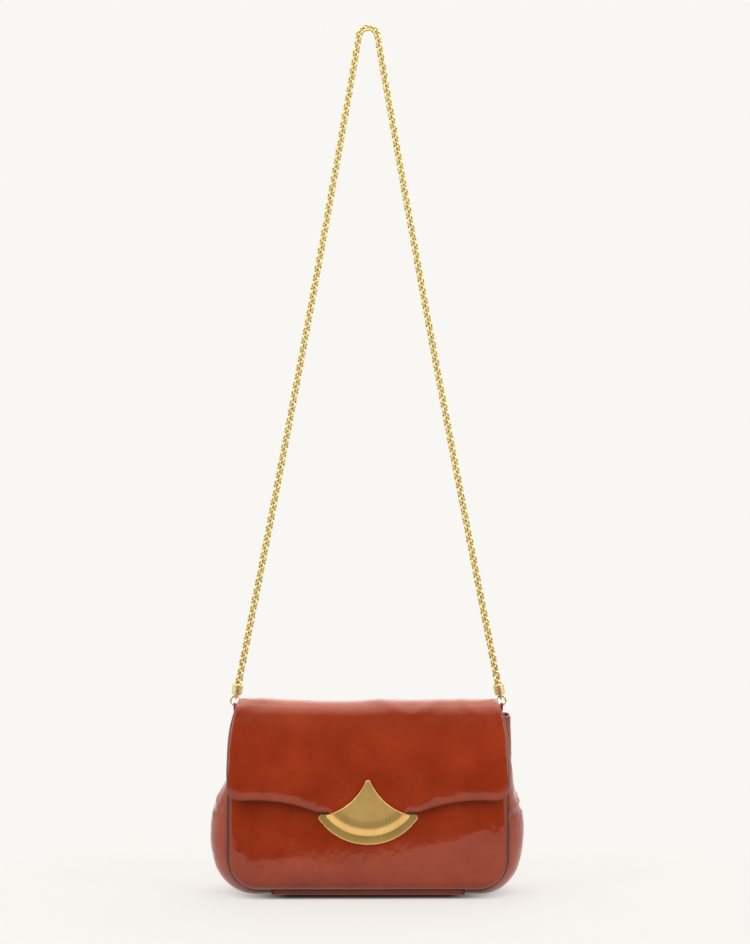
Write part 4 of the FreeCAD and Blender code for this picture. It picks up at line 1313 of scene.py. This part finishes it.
def world():
    """An even pale surround."""
    surround = bpy.data.worlds.new("studio")
    bpy.context.scene.world = surround
    surround.use_nodes = True
    tree = surround.node_tree
    light = tree.nodes["Background"]
    shaded(tree, light, Color=(*BACKGROUND, 1), Strength=WORLD_LIGHT)
    shown = new_node(tree, "Background", Color=(*BACKGROUND, 1), Strength=1.0)
    blended(tree, seen_ray(tree), light, shown, "World Output")


def flat(name, corners, colour, roughness):
    """A flat piece of the studio."""
    mesh = bpy.data.meshes.new(name)
    mesh.from_pydata(corners, [], [list(range(len(corners)))])
    piece = added(name, mesh)
    made, tree, shader = material(name)
    shaded(tree, shader, Base_Color=(*colour, 1), Roughness=roughness)
    mesh.materials.append(made)
    return piece


def passage(tree, value, low, high, begin=0.0):
    """From begin below low to 1 above high, evenly."""
    node = new_node(tree, "MapRange", Value=value, From_Min=low, From_Max=high, To_Min=begin)
    node.interpolation_type = "SMOOTHSTEP"
    return node.outputs["Result"]


def table():
    """A pale table that fades into the surround away from the bag and keeps its shadow."""
    edge = [(-TABLE_HALF, TABLE_EDGE, 0), (TABLE_HALF, TABLE_EDGE, 0)]
    piece = flat("floor", edge + [(TABLE_HALF, TABLE_BACK, 0), (-TABLE_HALF, TABLE_BACK, 0)], TABLE, 0.8)
    tree = piece.data.materials[0].node_tree
    shader = tree.nodes["Principled BSDF"]
    place = new_node(tree, "TexCoord").outputs["Object"]
    away = new_node(tree, "VectorMath")
    away.operation = "LENGTH"
    tree.links.new(place, away.inputs[0])
    fade = passage(tree, away.outputs["Value"], *FADE)
    shut = new_node(tree, "AmbientOcclusion", Distance=SHADOW_REACH)
    axes = new_node(tree, "SeparateXYZ", Vector=place)
    aside = passage(tree, computed(tree, "ABSOLUTE", axes.outputs["X"]), *SHADOW_ASIDE)
    path = new_node(tree, "LightPath").outputs
    mirrored = computed(tree, "MULTIPLY", path["Is Glossy Ray"], MIRRORED_LIFT)
    paler = computed(tree, "MAXIMUM", aside, mirrored)
    colour = mixed(tree, paler, ramped(tree, shut.outputs["AO"], SHADOW), (*BACKGROUND, 1), "RGBA")
    ground = mixed(tree, path["Is Camera Ray"], (*TABLE, 1), colour, "RGBA", "MULTIPLY")
    shaded(tree, shader, Base_Color=ground)
    shown = new_node(tree, "Emission", Color=colour)
    share = computed(tree, "MULTIPLY", fade, seen_ray(tree))
    blended(tree, share, shader, shown, "Material Output")


def studio():
    """A pale table, a dark card behind the camera and soft lamps."""
    table()
    half, low, high = CARD_HALF, CARD_LOW, CARD_HIGH
    corners = [(x, CARD_Y, z) for x, z in ((-half, low), (half, low), (half, high), (-half, high))]
    card = flat("card", corners, CARD, 0.9)
    card.visible_camera = False
    card.visible_shadow = False
    card.visible_diffuse = False
    for name, place, aim, extent, power in LAMPS:
        lamp = bpy.data.lights.new(name, "AREA")
        lamp.shape = "RECTANGLE"
        lamp.size, lamp.size_y = extent
        lamp.energy = power
        lamp.color = LAMP_COLOUR
        stand = added(name, lamp)
        stand.location = place
        stand.rotation_euler = (Vector(aim) - Vector(place)).to_track_quat("-Z", "Y").to_euler()


camera()
world()
studio()
chain()
leather_panel("front_panel", -1, FRONT_HIGH[2], 1)
leather_panel("back_panel", 1, BACK_TOP, 5)
gusset("left", 21)
gusset("right", 25)
base_strip()
linings()
flap()
flap_lining()
flap_bead()
fan()
base_plate()
for side_word in SIDES:
    tab(side_word)
    ring(side_word)
    end_cap(side_word)
carried_over()
bpy.context.scene.view_settings.view_transform = "Standard"
